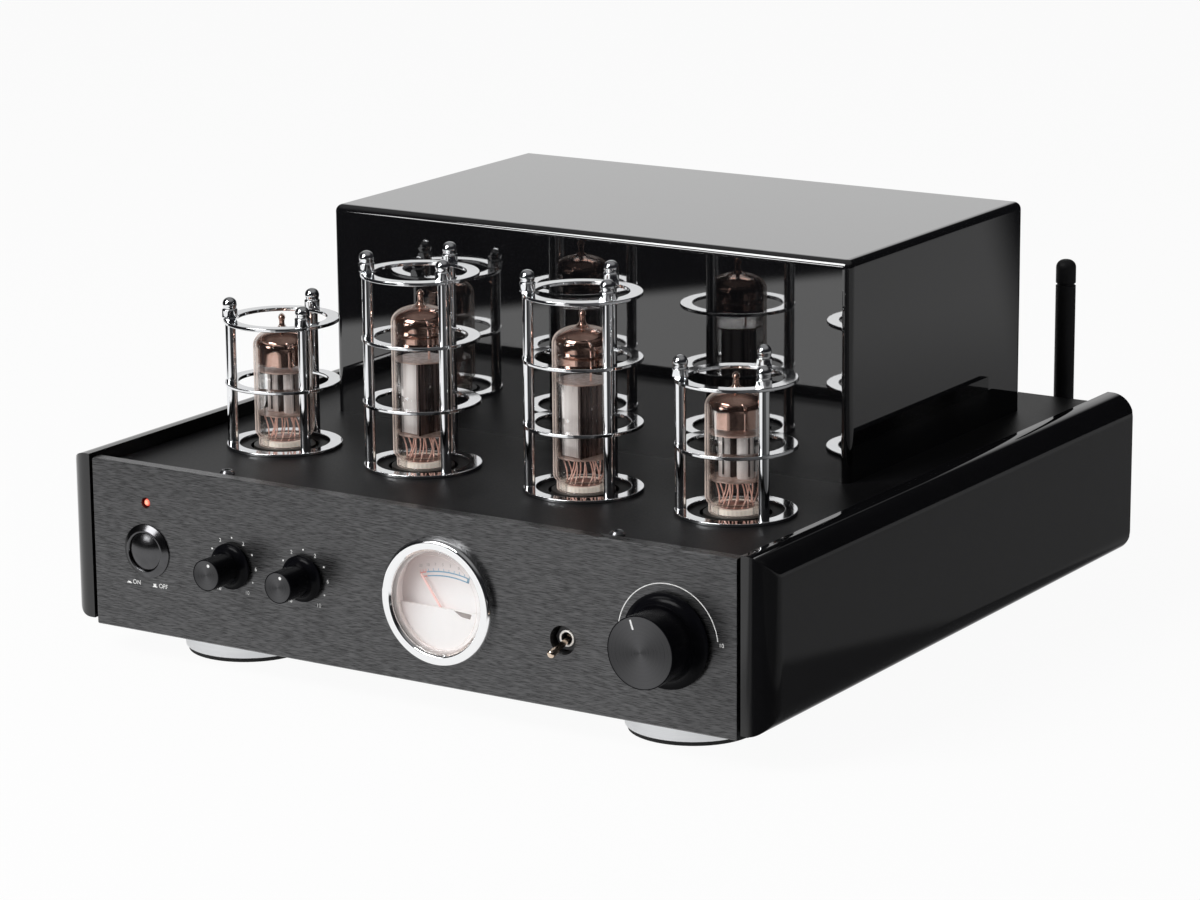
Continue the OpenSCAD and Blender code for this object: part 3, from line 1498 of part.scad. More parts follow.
chassis_tray();
deck_plate();
rear_panel();
front_panel();
left_cheek();
right_cheek();
transformer_cover();
foot_shells();
foot_pads();
deck_screws();
case_screws();
tube_board();
tube_sockets();
left_driver_glass();
left_power_glass();
right_power_glass();
right_driver_glass();
driver_electrodes();
power_electrodes();
tube_pins();
left_driver_rings();
left_power_rings();
right_power_rings();
right_driver_rings();
cage_posts();
cage_finials();
cage_screws();
power_bezel();
power_button();
power_switch();
power_lamp();
treble_knob();
treble_shaft();
bass_knob();
bass_shaft();
volume_knob();
volume_shaft();
control_pots();
control_nuts();
source_switch();
source_lever();
meter_bezel();
meter_case();
meter_lens();
meter_dial();
meter_needle();
meter_movement();
aerial_socket();
aerial_knuckle();
aerial_whip();
line_sockets();
speaker_posts();
left_plus_cap();
left_minus_cap();
right_plus_cap();
right_minus_cap();
mains_inlet();
power_transformer();
amp_board();
amp_components();
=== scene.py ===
"""Looks of a hybrid tube amplifier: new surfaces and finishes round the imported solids.

Sizes are in millimetres in the part's own frame and become metres when a mesh is made.
"""

from __future__ import annotations

import logging
import math
from dataclasses import dataclass
from enum import Enum
from typing import Callable, Iterable, Optional, Sequence, Union

import bmesh
import bpy
import numpy as np
from mathutils import Matrix, Vector

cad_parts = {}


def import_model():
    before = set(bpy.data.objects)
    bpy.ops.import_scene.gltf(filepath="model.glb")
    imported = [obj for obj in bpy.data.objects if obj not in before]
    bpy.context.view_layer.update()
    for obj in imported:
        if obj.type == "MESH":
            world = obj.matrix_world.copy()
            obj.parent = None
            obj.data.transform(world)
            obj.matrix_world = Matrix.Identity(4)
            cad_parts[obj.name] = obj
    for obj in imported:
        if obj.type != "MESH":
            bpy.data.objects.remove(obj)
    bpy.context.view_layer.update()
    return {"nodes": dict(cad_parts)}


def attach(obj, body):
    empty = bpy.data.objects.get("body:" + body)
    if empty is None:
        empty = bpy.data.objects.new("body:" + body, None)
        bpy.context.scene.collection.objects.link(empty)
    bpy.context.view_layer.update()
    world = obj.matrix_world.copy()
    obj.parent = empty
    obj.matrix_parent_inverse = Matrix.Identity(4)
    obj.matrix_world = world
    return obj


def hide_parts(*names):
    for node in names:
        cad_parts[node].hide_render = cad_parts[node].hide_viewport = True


LOG = logging.getLogger("amplifier")
MM = 0.001
ROOT = "amplifier"
FRONT_Y = -141.75
BACK_Y = 141.25
DECK_Z = 71.5
CONTROL_Z = 43.3
ROW_Y = -75.55
PRINT_GAP = 0.03
TUBES = ("left_driver", "left_power", "right_power", "right_driver")
TUBE_X = (-98.3, -35.0, 35.0, 98.3)
COAT_ROUGHNESS = 0.02
GLASS_BLEND, GLASS_SHARE = 0.3, 0.6
# A pale diffuse is mixed into the glass where its wall is seen edge-on: a painted highlight along the tubes'
# outline.
RIM_FROM, RIM_TO, RIM_SHARE = 0.5, 0.9, 0.55
RIM_PAINTED_HIGHLIGHT = (0.95, 0.8, 0.72)
RAGGED_SCALE, RAGGED_DEPTH = (260.0, 260.0, 90.0), 1.5

Colour = tuple[float, float, float]
Point = tuple[float, float, float]


class Axis(Enum):
    """Directions in which a turned piece points, as two cross axes and the axis itself."""

    UP = ((1, 0, 0), (0, 1, 0), (0, 0, 1))
    FRONT = ((1, 0, 0), (0, 0, 1), (0, -1, 0))
    BACK = ((-1, 0, 0), (0, 0, 1), (0, 1, 0))


class Pattern(Enum):
    """How a finish varies: in words, its noise's stretch along each axis and the noise's detail."""

    BRUSHED = ("long streaks across", (0.05, 1.0, 1.0), 1.0)
    TURNED = ("fine rings along the height", (0.01, 0.01, 1.0), 4.0)
    # The spun pattern's two brighter sectors are a painted sheen.
    SPUN = ("fine rings round an axis to the front, brighter in two sectors", (1.0, 0.0, 1.0), 4.0)
    GRAIN = ("fine powder grain", (1.0, 1.0, 1.0), 2.0)
    LACQUER = ("very long soft waves", (1.0, 1.0, 1.0), 1.0)
    SMUDGE = ("soft cloudy smears", (1.0, 1.0, 1.0), 5.0)
    BOARD = ("a mesh of tracks", (1.0, 1.0, 1.0), 0.0)
    CORE = ("bright near an axis to the front", (1.0, 0.0, 1.0), 0.0)
    DRAWN = ("upright streaks", (1.0, 1.0, 0.02), 2.0)


class Clear(Enum):
    """How a finish lets light through."""

    NO = "solid"
    EDGE = "a coat that thins out downwards"
    # Glass is also mixed with a pale diffuse along its outline, a painted highlight.
    GLASS = "a thin wall, a mirror only where it is seen at a slant"


def operator(operation: str, swapped: bool = False) -> Callable[[Wire, Term], Wire]:
    """Arithmetic on a wire as a Math node, with the other value first when swapped."""

    def method(self: Wire, other: Term) -> Wire:
        """The result as a wire."""
        return self.graph.maths(operation, *((other, self) if swapped else (self, other)))

    return method


class Wire:
    """One shader value: arithmetic on it adds Math nodes."""

    def __init__(self, graph: Graph, socket: bpy.types.NodeSocket) -> None:
        """Keeps the graph and the socket."""
        self.graph = graph
        self.socket = socket

    def out(self, name: Union[str, int]) -> Wire:
        """Another output of the same node, by name or number."""
        return Wire(self.graph, self.socket.node.outputs[name])

    __add__, __radd__ = operator("ADD"), operator("ADD", True)
    __sub__, __rsub__ = operator("SUBTRACT"), operator("SUBTRACT", True)
    __mul__, __rmul__ = operator("MULTIPLY"), operator("MULTIPLY", True)
    __truediv__ = operator("DIVIDE")

    def step(self, low: float, high: float) -> Wire:
        """A smooth step from 0 at low to 1 at high."""
        sockets = {"Value": self, "From Min": low, "From Max": high}
        return self.graph.node("ShaderNodeMapRange", {"interpolation_type": "SMOOTHSTEP"}, sockets)


Term = Union[Wire, float]


class Graph:
    """The node tree of one material or of the world."""

    def __init__(self, owner: Union[bpy.types.Material, bpy.types.World]) -> None:
        """Empties the owner's tree."""
        owner.use_nodes = True
        self.tree = owner.node_tree
        self.tree.nodes.clear()

    def node(self, kind: str, settings: Optional[dict] = None, sockets: Optional[dict] = None) -> Wire:
        """Adds a node.

        Args:
            kind: the node's type.
            settings: values of the node itself, set first.
            sockets: a value or a wire for each input, by name or number.

        Returns:
            The node's first output.
        """
        made = self.tree.nodes.new(kind)
        for key, value in (settings or {}).items():
            setattr(made, key, value)
        for key, value in (sockets or {}).items():
            if isinstance(value, Wire):
                self.tree.links.new(value.socket, made.inputs[key])
            else:
                made.inputs[key].default_value = value
        return Wire(self, made.outputs[0] if made.outputs else made.inputs[0])

    def maths(self, operation: str, *values: Term) -> Wire:
        """A Math node on the given values."""
        return self.node("ShaderNodeMath", {"operation": operation}, dict(enumerate(values)))

    def place(self) -> Wire:
        """Object coordinates in metres."""
        return self.node("ShaderNodeTexCoord").out("Object")

    def split(self, where: Wire) -> tuple[Wire, Wire, Wire]:
        """The three parts of a place or a direction."""
        x = self.node("ShaderNodeSeparateXYZ", {}, {0: where})
        return x, x.out("Y"), x.out("Z")

    def mapped(self, scale: Point, centre: Point = (0.0, 0.0, 0.0)) -> Wire:
        """Object coordinates about a centre in millimetres, scaled along each axis."""
        shift = tuple(-c * MM * s for c, s in zip(centre, scale))
        sockets = {"Vector": self.place(), "Location": shift, "Scale": scale}
        return self.node("ShaderNodeMapping", {}, sockets)

    def noise(self, where: Union[Wire, Point], detail: float = 3.0) -> Wire:
        """Soft noise from 0 to 1, at a place or at object coordinates times a scale."""
        where = where if isinstance(where, Wire) else self.mapped(where)
        return self.node("ShaderNodeTexNoise", {}, {"Vector": where, "Scale": 1.0, "Detail": detail})

    def mix(self, share: Term, first: Colour, second: Colour) -> Wire:
        """A colour between two, by share."""
        sockets = {0: share, 6: (*first, 1.0), 7: (*second, 1.0)}
        return self.node("ShaderNodeMix", {"data_type": "RGBA"}, sockets).out(2)


@dataclass(frozen=True)
class Finish:
    """One finish: its colours, its gloss and how they vary over the surface."""

    slot: str
    colour: Colour
    tint: Colour
    roughness: float
    spread: float = 0.1
    metallic: float = 0.0
    specular: float = 0.5
    coat: float = 0.0
    glow: float = 0.0
    pattern: Pattern = Pattern.SMUDGE
    scale: float = 400.0
    bump: float = 0.02
    centre: Point = (0.0, 0.0, 0.0)
    clear: Clear = Clear.NO
    fade_from: float = 0.0
    fade_to: float = 1.0
    part_slot: str = ""

    def field(self, graph: Graph) -> Wire:
        """The finish's pattern as one value from 0 to 1, about 0.5 over the surface."""
        _, stretch, detail = self.pattern.value
        scale = tuple(self.scale * v for v in stretch)
        if self.pattern in (Pattern.SPUN, Pattern.CORE):
            return self.round_field(graph, detail)
        if self.pattern is Pattern.BOARD:
            bricks = {"Vector": graph.mapped(scale), "Scale": 1.0, "Mortar Size": 0.08}
            return graph.node("ShaderNodeTexBrick", {}, bricks).out("Fac")
        fine = graph.noise(scale, detail)
        if self.pattern is Pattern.BRUSHED:
            broad = graph.noise((self.scale * 0.01, self.scale * 0.1, self.scale * 0.1), 2.0)
            return fine.step(0.25, 0.75) * 0.9 + broad * 0.1
        return fine.step(0.3, 0.7) if self.pattern is Pattern.DRAWN else fine

    def round_field(self, graph: Graph, detail: float) -> Wire:
        """The patterns about an axis that points to the front, by the radius r from it.

        The core falls from 1 to 0 between r = 0.3 / scale and r = 1 / scale. The spun face is noise on r plus
        (z^2 - x^2 - zx) / r^2, a painted sheen that gives two bright sectors.

        Args:
            graph: the material's tree.
            detail: detail of the noise.

        Returns:
            A value from 0 to 1.
        """
        where = graph.mapped((1.0, 0.0, 1.0), self.centre)
        radius = graph.node("ShaderNodeVectorMath", {"operation": "LENGTH"}, {0: where}).out("Value")
        if self.pattern is Pattern.CORE:
            return 1.0 - radius.step(0.3 / self.scale, 1.0 / self.scale)
        line = graph.node("ShaderNodeCombineXYZ", {}, {0: radius * self.scale, 1: 0.0, 2: 0.0})
        x, _, z = graph.split(where)
        painted_sheen = (z * z - x * x - z * x) / (radius * radius + 1e-9)
        return graph.noise(line, detail) * 0.5 + painted_sheen * 0.2 + 0.25

    def material(self) -> bpy.types.Material:
        """The finish as a material, made once and kept by its name."""
        name = self.slot + "_finish"
        if name in bpy.data.materials:
            return bpy.data.materials[name]
        made = bpy.data.materials.new(name)
        graph = Graph(made)
        pattern = self.field(graph)
        colour = graph.mix(pattern, self.colour, self.tint)
        sockets = {
            "Base Color": colour,
            "Roughness": pattern * self.spread + (self.roughness - self.spread / 2),
            "Metallic": self.metallic,
            "Specular IOR Level": self.specular,
            "Coat Weight": self.coat,
            "Coat Roughness": COAT_ROUGHNESS,
            "Emission Strength": self.glow,
        }
        if self.bump:
            height = {"Height": pattern, "Strength": 1.0, "Distance": self.bump * MM}
            sockets["Normal"] = graph.node("ShaderNodeBump", {}, height)
        if self.glow:
            sockets["Emission Color"] = colour
        if self.clear is Clear.GLASS:
            slant = graph.node("ShaderNodeLayerWeight", {}, {"Blend": GLASS_BLEND})
            sockets["Alpha"] = slant.out("Fresnel") * GLASS_SHARE
        if self.clear is Clear.EDGE:
            *_, height = graph.split(graph.place())
            ragged = graph.noise(RAGGED_SCALE, 2.0) * (RAGGED_DEPTH * MM)
            sockets["Alpha"] = (height + ragged).step(self.fade_from * MM, self.fade_to * MM)
        shader = graph.node("ShaderNodeBsdfPrincipled", {}, sockets)
        # Painted highlight: the glass is mixed with a pale diffuse where it is seen edge-on, so its outline
        # shows a bright rim.
        if self.clear is Clear.GLASS:
            facing = graph.node("ShaderNodeLayerWeight", {}, {"Blend": 0.5}).out("Facing")
            share = facing.step(RIM_FROM, RIM_TO) * RIM_SHARE
            rim = graph.node("ShaderNodeBsdfDiffuse", {}, {"Color": (*RIM_PAINTED_HIGHLIGHT, 1.0)})
            shader = graph.node("ShaderNodeMixShader", {}, {0: share, 1: shader, 2: rim})
        graph.node("ShaderNodeOutputMaterial", {}, {"Surface": shader})
        return made


BLACK_PANEL = Finish("black_panel", (0.04, 0.04, 0.041), (0.15, 0.15, 0.153), 0.3, 0.1, 0.85,
                     pattern=Pattern.BRUSHED, scale=5000.0, bump=0.002)
DECK_BLACK = Finish("deck_black", (0.006, 0.006, 0.0065), (0.014, 0.014, 0.015), 0.42, 0.15, specular=0.14,
                    pattern=Pattern.GRAIN, scale=1500.0, bump=0.05)
TRAY_BLACK = Finish("tray_black", (0.011, 0.011, 0.012), (0.02, 0.02, 0.021), 0.45, specular=0.3,
                    pattern=Pattern.GRAIN, scale=1800.0)
PIANO_BLACK = Finish("piano_black", (0.003, 0.003, 0.0035), (0.005, 0.005, 0.0055), 0.035, 0.02, coat=0.3,
                     pattern=Pattern.LACQUER, scale=60.0, bump=0.004)
COVER_BLACK = Finish("cover_black", (0.003, 0.003, 0.0035), (0.005, 0.005, 0.0055), 0.03, 0.02,
                     specular=0.75, coat=1.0, pattern=Pattern.LACQUER, scale=50.0, bump=0.003)
FOOT_SILVER = Finish("foot_silver", (0.74, 0.75, 0.77), (0.88, 0.89, 0.9), 0.32, 0.12, 0.85,
                     pattern=Pattern.TURNED, scale=2200.0, bump=0.004)
FOOT_RUBBER = Finish("foot_rubber", (0.008, 0.008, 0.008), (0.014, 0.014, 0.014), 0.75,
                     pattern=Pattern.GRAIN, scale=900.0)
SCREW_STEEL = Finish("screw_steel", (0.12, 0.12, 0.125), (0.22, 0.22, 0.23), 0.22, 0.15, 0.9,
                     scale=700.0, bump=0.01)
BOARD_GREEN = Finish("board_green", (0.012, 0.07, 0.03), (0.03, 0.13, 0.055), 0.4, 0.2,
                     pattern=Pattern.BOARD, scale=220.0, bump=0.03)
SOCKET_BLACK = Finish("socket_black", (0.012, 0.011, 0.01), (0.024, 0.021, 0.019), 0.45, 0.2, scale=500.0)
TUBE_GLASS = Finish("tube_glass", (0.97, 0.93, 0.9), (1.0, 0.98, 0.96), 0.02, 0.01, 1.0,
                    pattern=Pattern.LACQUER, scale=90.0, bump=0.0, clear=Clear.GLASS)
# Plates: the pale finish is the driver plates' own colour. On the power plates, the pale broad faces and the
# darker mauve sleeve are painted lit and shaded sides of one plate. The near-black bars at corners and joins
# are painted shade.
PLATE_GREY = Finish("electrode_grey", (0.62, 0.55, 0.52), (0.95, 0.9, 0.87), 0.32, 0.2, 0.3,
                    pattern=Pattern.DRAWN, scale=320.0)
PLATE_MAUVE_SHADED_SIDES = Finish("plate_mauve", (0.09, 0.065, 0.06), (0.36, 0.275, 0.255), 0.3, 0.2, 0.5,
                     pattern=Pattern.DRAWN, scale=380.0, part_slot="electrode_grey")
PLATE_DARK_PAINTED_SHADE = Finish("plate_dark", (0.03, 0.022, 0.02), (0.07, 0.05, 0.045), 0.4, 0.2, 0.5,
                    part_slot="electrode_grey")
# Stem, mica and copper wires glow a little (0.25, 0.04, 0.15): painted light that lifts the tubes' dim
# insides; they are no lamps.
STEM_CREAM_PAINTED_GLOW = Finish("stem_cream", (0.9, 0.79, 0.68), (0.98, 0.92, 0.84), 0.25, 0.2, glow=0.25,
                    scale=500.0, part_slot="electrode_grey")
STEM_BROWN = Finish("stem_brown", (0.12, 0.045, 0.035), (0.5, 0.26, 0.2), 0.3, 0.2, 0.3,
                    scale=420.0, bump=0.05, part_slot="electrode_grey")
MICA_PAINTED_GLOW = Finish("mica_pale", (0.2, 0.12, 0.095), (0.9, 0.68, 0.59), 0.2, 0.15, glow=0.04,
              scale=500.0, bump=0.01, part_slot="electrode_grey")
WIRE_COPPER_PAINTED_GLOW = Finish("wire_copper", (0.72, 0.3, 0.22), (1.0, 0.78, 0.68), 0.25, 0.2, 0.4, glow=0.15,
                     scale=600.0, part_slot="electrode_grey")
PIN_METAL = Finish("pin_metal", (0.6, 0.58, 0.55), (0.75, 0.73, 0.7), 0.3, 0.2, 1.0, scale=500.0)
CAGE_CHROME = Finish("cage_chrome", (0.84, 0.85, 0.87), (0.92, 0.93, 0.94), 0.05, 0.05, 1.0,
                     scale=180.0, bump=0.0)
BEZEL_CHROME = Finish("bezel_chrome", (0.94, 0.945, 0.95), (0.98, 0.985, 0.99), 0.06, 0.05, 1.0,
                      scale=200.0, bump=0.0)
BUTTON_BLACK = Finish("button_black", (0.07, 0.07, 0.073), (0.12, 0.12, 0.124), 0.2, 0.06, 1.0,
                      scale=300.0, bump=0.0)
SWITCH_BLACK = Finish("switch_black", (0.012, 0.012, 0.013), (0.025, 0.025, 0.027), 0.4,
                      pattern=Pattern.GRAIN, scale=900.0)
LAMP_RED = Finish("lamp_red", (0.35, 0.01, 0.008), (1.0, 0.3, 0.2), 0.15, 0.1, glow=1.0,
                  pattern=Pattern.CORE, scale=650.0, bump=0.0, centre=(-113.0, 0.0, 61.5))
KNOB_BLACK = Finish("knob_black", (0.002, 0.002, 0.003), (0.004, 0.004, 0.005), 0.2, 0.06, specular=0.06,
                    scale=300.0, bump=0.0)
SHAFT_STEEL = Finish("shaft_steel", (0.5, 0.5, 0.52), (0.66, 0.66, 0.68), 0.3, 0.2, 1.0, scale=500.0)
NICKEL = Finish("nickel_brass", (0.6, 0.53, 0.42), (0.74, 0.66, 0.54), 0.22, 0.15, 1.0, scale=500.0)
LEVER_BRASS = Finish("lever_brass", (0.66, 0.5, 0.38), (0.86, 0.74, 0.62), 0.16, 0.12, 1.0,
                     part_slot="nickel_brass")
BUSH_BRIGHT = Finish("bush_bright", (0.88, 0.84, 0.78), (0.97, 0.94, 0.9), 0.3, 0.15, 0.5)
GOLD = Finish("gold_brass", (0.83, 0.6, 0.24), (0.93, 0.72, 0.34), 0.2, 0.15, 1.0)
METER_BLACK = Finish("meter_black", (0.014, 0.014, 0.015), (0.03, 0.03, 0.03), 0.45,
                     pattern=Pattern.GRAIN, scale=900.0)
LENS_CLEAR = Finish("lens_clear", (0.99, 0.98, 0.97), (1.0, 1.0, 1.0), 0.02, 0.01, 1.0,
                    pattern=Pattern.LACQUER, scale=60.0, bump=0.0, clear=Clear.GLASS)
# Dial: white near a point right of and below its middle and darker towards the upper left, a painted shadow
# of the bezel; its glow is painted light, not a lamp.
DIAL_WHITE_PAINTED_SHADE = Finish("dial_white", (0.56, 0.46, 0.445), (0.95, 0.942, 0.938), 0.5, 0.2, glow=0.08,
                    pattern=Pattern.CORE, scale=25.0, bump=0.0, centre=(27.0, 0.0, 30.0))
# The needle's glow is painted light; it is no lamp.
NEEDLE_RED = Finish("needle_red", (0.93, 0.55, 0.51), (0.98, 0.66, 0.62), 0.4, glow=0.2, scale=500.0)
MAGNET_GREY = Finish("magnet_grey", (0.1, 0.1, 0.105), (0.18, 0.18, 0.185), 0.5,
                     pattern=Pattern.GRAIN, scale=500.0)
# The liner's glow is painted light; it is no lamp.
LINER_PINK = Finish("liner_pink", (0.84, 0.76, 0.74), (0.94, 0.88, 0.86), 0.25, 0.15, glow=0.08,
                    scale=300.0, bump=0.0)
NOTCH_GREY = Finish("notch_grey", (0.3, 0.26, 0.25), (0.42, 0.38, 0.36), 0.5, scale=500.0, bump=0.0)
AERIAL_BLACK = Finish("aerial_black", (0.008, 0.008, 0.009), (0.016, 0.016, 0.017), 0.55, 0.15, specular=0.3,
                      pattern=Pattern.GRAIN, scale=1600.0)
CAP_RED = Finish("cap_red", (0.42, 0.012, 0.015), (0.55, 0.03, 0.03), 0.25, 0.1, scale=300.0, bump=0.005)
CAP_BLACK = Finish("cap_black", (0.01, 0.01, 0.011), (0.02, 0.02, 0.021), 0.25, 0.1, scale=300.0, bump=0.005)
WINDING = Finish("winding_tape", (0.42, 0.22, 0.04), (0.6, 0.36, 0.09), 0.4, 0.2,
                 pattern=Pattern.TURNED, bump=0.05)
COMPONENT = Finish("component_grey", (0.2, 0.205, 0.21), (0.34, 0.345, 0.35), 0.4, 0.2, 0.7,
                   pattern=Pattern.BRUSHED, scale=900.0, bump=0.01)
MARK_WHITE = Finish("mark_white", (0.72, 0.72, 0.71), (0.84, 0.84, 0.83), 0.5, bump=0.0)
MARK_BLUE = Finish("mark_blue", (0.12, 0.33, 0.51), (0.21, 0.45, 0.63), 0.5, bump=0.0)
MARK_RED = Finish("mark_red", (0.75, 0.25, 0.22), (0.85, 0.36, 0.32), 0.5, bump=0.0)


@dataclass
class Surface:
    """Points of a shape on a grid of two parameters, in millimetres."""

    points: np.ndarray
    wrap_rows: bool = False
    wrap_columns: bool = True

    def quads(self, start: int) -> np.ndarray:
        """Corner numbers of the grid's faces, wrapped where the grid closes.

        Args:
            start: number of the grid's first point in its mesh.

        Returns:
            One row of four corners for each face.
        """
        rows, columns = self.points.shape[:2]
        i = np.arange(rows if self.wrap_rows else rows - 1)[:, None]
        j = np.arange(columns if self.wrap_columns else columns - 1)[None, :]
        i2, j2 = (i + 1) % rows, (j + 1) % columns
        corners = [i * columns + j, i * columns + j2, i2 * columns + j2, i2 * columns + j]
        return start + np.stack(np.broadcast_arrays(*corners), -1).reshape(-1, 4)


def rounded(profile: Sequence[Sequence[float]], cut: Union[float, Sequence[float]], closed: bool = False,
            steps: int = 6) -> np.ndarray:
    """A profile whose corners are rounded.

    Each corner C gives way to the curve (1-t)^2 A + 2t(1-t) C + t^2 B, where A and B lie the cut's
    length before and after it. One more point on each straight beside it keeps the flats flat in a mirror.

    Args:
        profile: corner points.
        cut: length taken off beside each corner, one for all or one each.
        closed: whether the last corner joins the first.
        steps: points on each rounded corner.

    Returns:
        The rounded profile's points.
    """
    p = np.asarray(profile, float)
    before, after = np.roll(p, 1, 0) - p, np.roll(p, -1, 0) - p
    lengths = np.stack([np.linalg.norm(before, axis=1), np.linalg.norm(after, axis=1)], 1)
    if not closed:
        lengths[0, 0], lengths[-1, 1] = lengths[0, 1], lengths[-1, 0]
    c = np.minimum(np.broadcast_to(np.asarray(cut, float), len(p)), 0.45 * lengths.min(1))[:, None]
    back, on = before / np.maximum(lengths[:, :1], 1e-9), after / np.maximum(lengths[:, 1:], 1e-9)
    a, b = p + back * c, p + on * c
    t = np.linspace(0, 1, steps)[None, :, None]
    arcs = (1 - t) ** 2 * a[:, None] + 2 * t * (1 - t) * p[:, None] + t ** 2 * b[:, None]
    arcs = np.concatenate([(a + back * c * 0.1)[:, None], arcs, (b + on * c * 0.1)[:, None]], 1)
    if closed:
        return arcs.reshape(-1, 2)
    return np.concatenate([p[:1], arcs[1:-1].reshape(-1, 2), p[-1:]])


def bend(a: Sequence[float], c: Sequence[float], b: Sequence[float], steps: int = 14) -> np.ndarray:
    """The curve (1-t)^2 a + 2t(1-t) c + t^2 b, without its first point."""
    t = np.linspace(0, 1, steps + 1)[1:, None]
    return (1 - t) ** 2 * np.array(a) + 2 * t * (1 - t) * np.array(c) + t ** 2 * np.array(b)


def turned(profile: np.ndarray, origin: Point, axis: Axis = Axis.UP, segments: int = 96,
           swell: Optional[np.ndarray] = None, closed: bool = False) -> Surface:
    """A profile of [radius, height] carried round an axis.

    The point at angle u and profile place v is origin + r(v) s(u, v) (cos u e1 + sin u e2) + h(v) axis,
    where s swells the radius.

    Args:
        profile: points as radius and height.
        origin: where the axis starts.
        axis: where it points.
        segments: steps round the axis.
        swell: factors on the radius, by profile point and angle.
        closed: whether the profile is a closed loop.

    Returns:
        The surface.
    """
    e1, e2, along = (np.array(v, float) for v in axis.value)
    u = np.linspace(0, 2 * math.pi, segments, endpoint=False)
    ring = np.cos(u)[:, None] * e1 + np.sin(u)[:, None] * e2
    p = np.asarray(profile, float)
    radius = p[:, :1] * (np.ones((1, segments)) if swell is None else swell)
    points = np.array(origin, float) + radius[..., None] * ring[None] + p[:, 1, None, None] * along
    return Surface(points, wrap_rows=closed)


def hexagon(segments: int) -> np.ndarray:
    """Radius factor of a six-sided outline: cos 30 over cos of the angle from the nearest flat's middle."""
    u = np.linspace(0, 2 * math.pi, segments, endpoint=False)
    return math.cos(math.pi / 6) / np.cos(np.mod(u, math.pi / 3) - math.pi / 6)


def round_wire(path: np.ndarray, radius: float, sides: int = 10) -> Surface:
    """A circle carried along a path: path(u) + radius (cos v n + sin v b), n and b across the path.

    Args:
        path: points along the wire.
        radius: the wire's radius.
        sides: sides of the circle.

    Returns:
        The surface.
    """
    along = np.gradient(path, axis=0)
    along /= np.linalg.norm(along, axis=1, keepdims=True)
    guide = np.array([0.0, 1.0, 0.0]) if abs(along[0, 1]) < 0.8 else np.array([1.0, 0.0, 0.0])
    n = np.cross(guide, along)
    n /= np.linalg.norm(n, axis=1, keepdims=True)
    b = np.cross(along, n)
    v = np.linspace(0, 2 * math.pi, sides, endpoint=False)[None, :, None]
    return Surface(path[:, None] + radius * (np.cos(v) * n[:, None] + np.sin(v) * b[:, None]))


def flat_arc(centre: tuple[float, float], y: float, inner: float, outer: float, start: float, end: float,
             steps: int = 48) -> Surface:
    """A flat band that faces the front: centre + r (sin a, cos a), with a and r its two parameters.

    Args:
        centre: x and z of the arc's middle.
        y: depth of the band.
        inner: inner radius.
        outer: outer radius.
        start: first angle, in degrees clockwise from upright.
        end: last angle.
        steps: steps along the arc.

    Returns:
        The surface.
    """
    a = np.radians(np.linspace(start, end, steps))[None, :]
    r = np.array([inner, outer])[:, None]
    x, z = centre[0] + r * np.sin(a), centre[1] + r * np.cos(a)
    return Surface(np.stack([x, np.full_like(x, y), z], -1)[:, ::-1], wrap_columns=False)


def flat_patch(x: Sequence[float], z: Sequence[float], y: float) -> Surface:
    """A flat four-sided patch that faces the front: x and z each between two ends, at one depth."""
    across, height = np.meshgrid(np.array(x, float), np.array(z, float))
    return Surface(np.stack([across, np.full_like(across, y), height], -1), wrap_columns=False)


def plate_column(half: Sequence[float], power: float, low: float, high: float, origin: Point, turn: float,
                 segments: int = 64) -> Surface:
    """An upright sleeve with a squared round section, closed at its ends: |x/a|^n + |y/b|^n = 1, carried up.

    Args:
        half: half sizes a and b.
        power: the exponent n.
        low: lower end.
        high: upper end.
        origin: middle of the section.
        turn: angle about the upright axis, in degrees.
        segments: steps round the section.

    Returns:
        The surface.
    """
    u = np.linspace(0, 2 * math.pi, segments, endpoint=False)
    c, s = np.cos(u), np.sin(u)
    x = half[0] * np.sign(c) * np.abs(c) ** (2 / power)
    y = half[1] * np.sign(s) * np.abs(s) ** (2 / power)
    a = math.radians(turn)
    section = np.stack([x * math.cos(a) - y * math.sin(a), x * math.sin(a) + y * math.cos(a)], -1)
    share = np.array([0.0, 0.96, 1.0, 1.0, 0.96, 0.0])[:, None, None]
    z = np.array([low, low, low + 0.3, high - 0.3, high, high])[:, None]
    flat = np.array(origin[:2]) + share * section[None]
    return Surface(np.concatenate([flat, np.broadcast_to(origin[2] + z, flat.shape[:2])[..., None]], -1))


def make_mesh(name: str, surfaces: Iterable[Surface], solid: bool = True,
              sharp: float = 38.0) -> bpy.types.Object:
    """One object from several surfaces, welded at seams and poles, in metres at the origin.

    Args:
        name: the piece's name.
        surfaces: its surfaces in millimetres.
        solid: whether they are closed, so that their normals are turned outwards.
        sharp: edges bent by more degrees than this stay sharp.

    Returns:
        The object.
    """
    grids = list(surfaces)
    starts = np.cumsum([0] + [g.points[..., 0].size for g in grids])
    points = np.concatenate([g.points.reshape(-1, 3) for g in grids]) * MM
    faces = np.concatenate([g.quads(int(s)) for g, s in zip(grids, starts)])
    mesh = bpy.data.meshes.new(name)
    mesh.from_pydata(points.tolist(), [], faces.tolist())
    edit = bmesh.new()
    edit.from_mesh(mesh)
    bmesh.ops.remove_doubles(edit, verts=edit.verts, dist=1e-7)
    bmesh.ops.dissolve_degenerate(edit, dist=1e-8, edges=edit.edges)
    if solid:
        bmesh.ops.recalc_face_normals(edit, faces=edit.faces)
    edit.to_mesh(mesh)
    edit.free()
    mesh.polygons.foreach_set("use_smooth", np.ones(len(mesh.polygons), bool))
    mesh.set_sharp_from_angle(angle=math.radians(sharp))
    made = bpy.data.objects.new(name, mesh)
    bpy.context.scene.collection.objects.link(made)
    return made


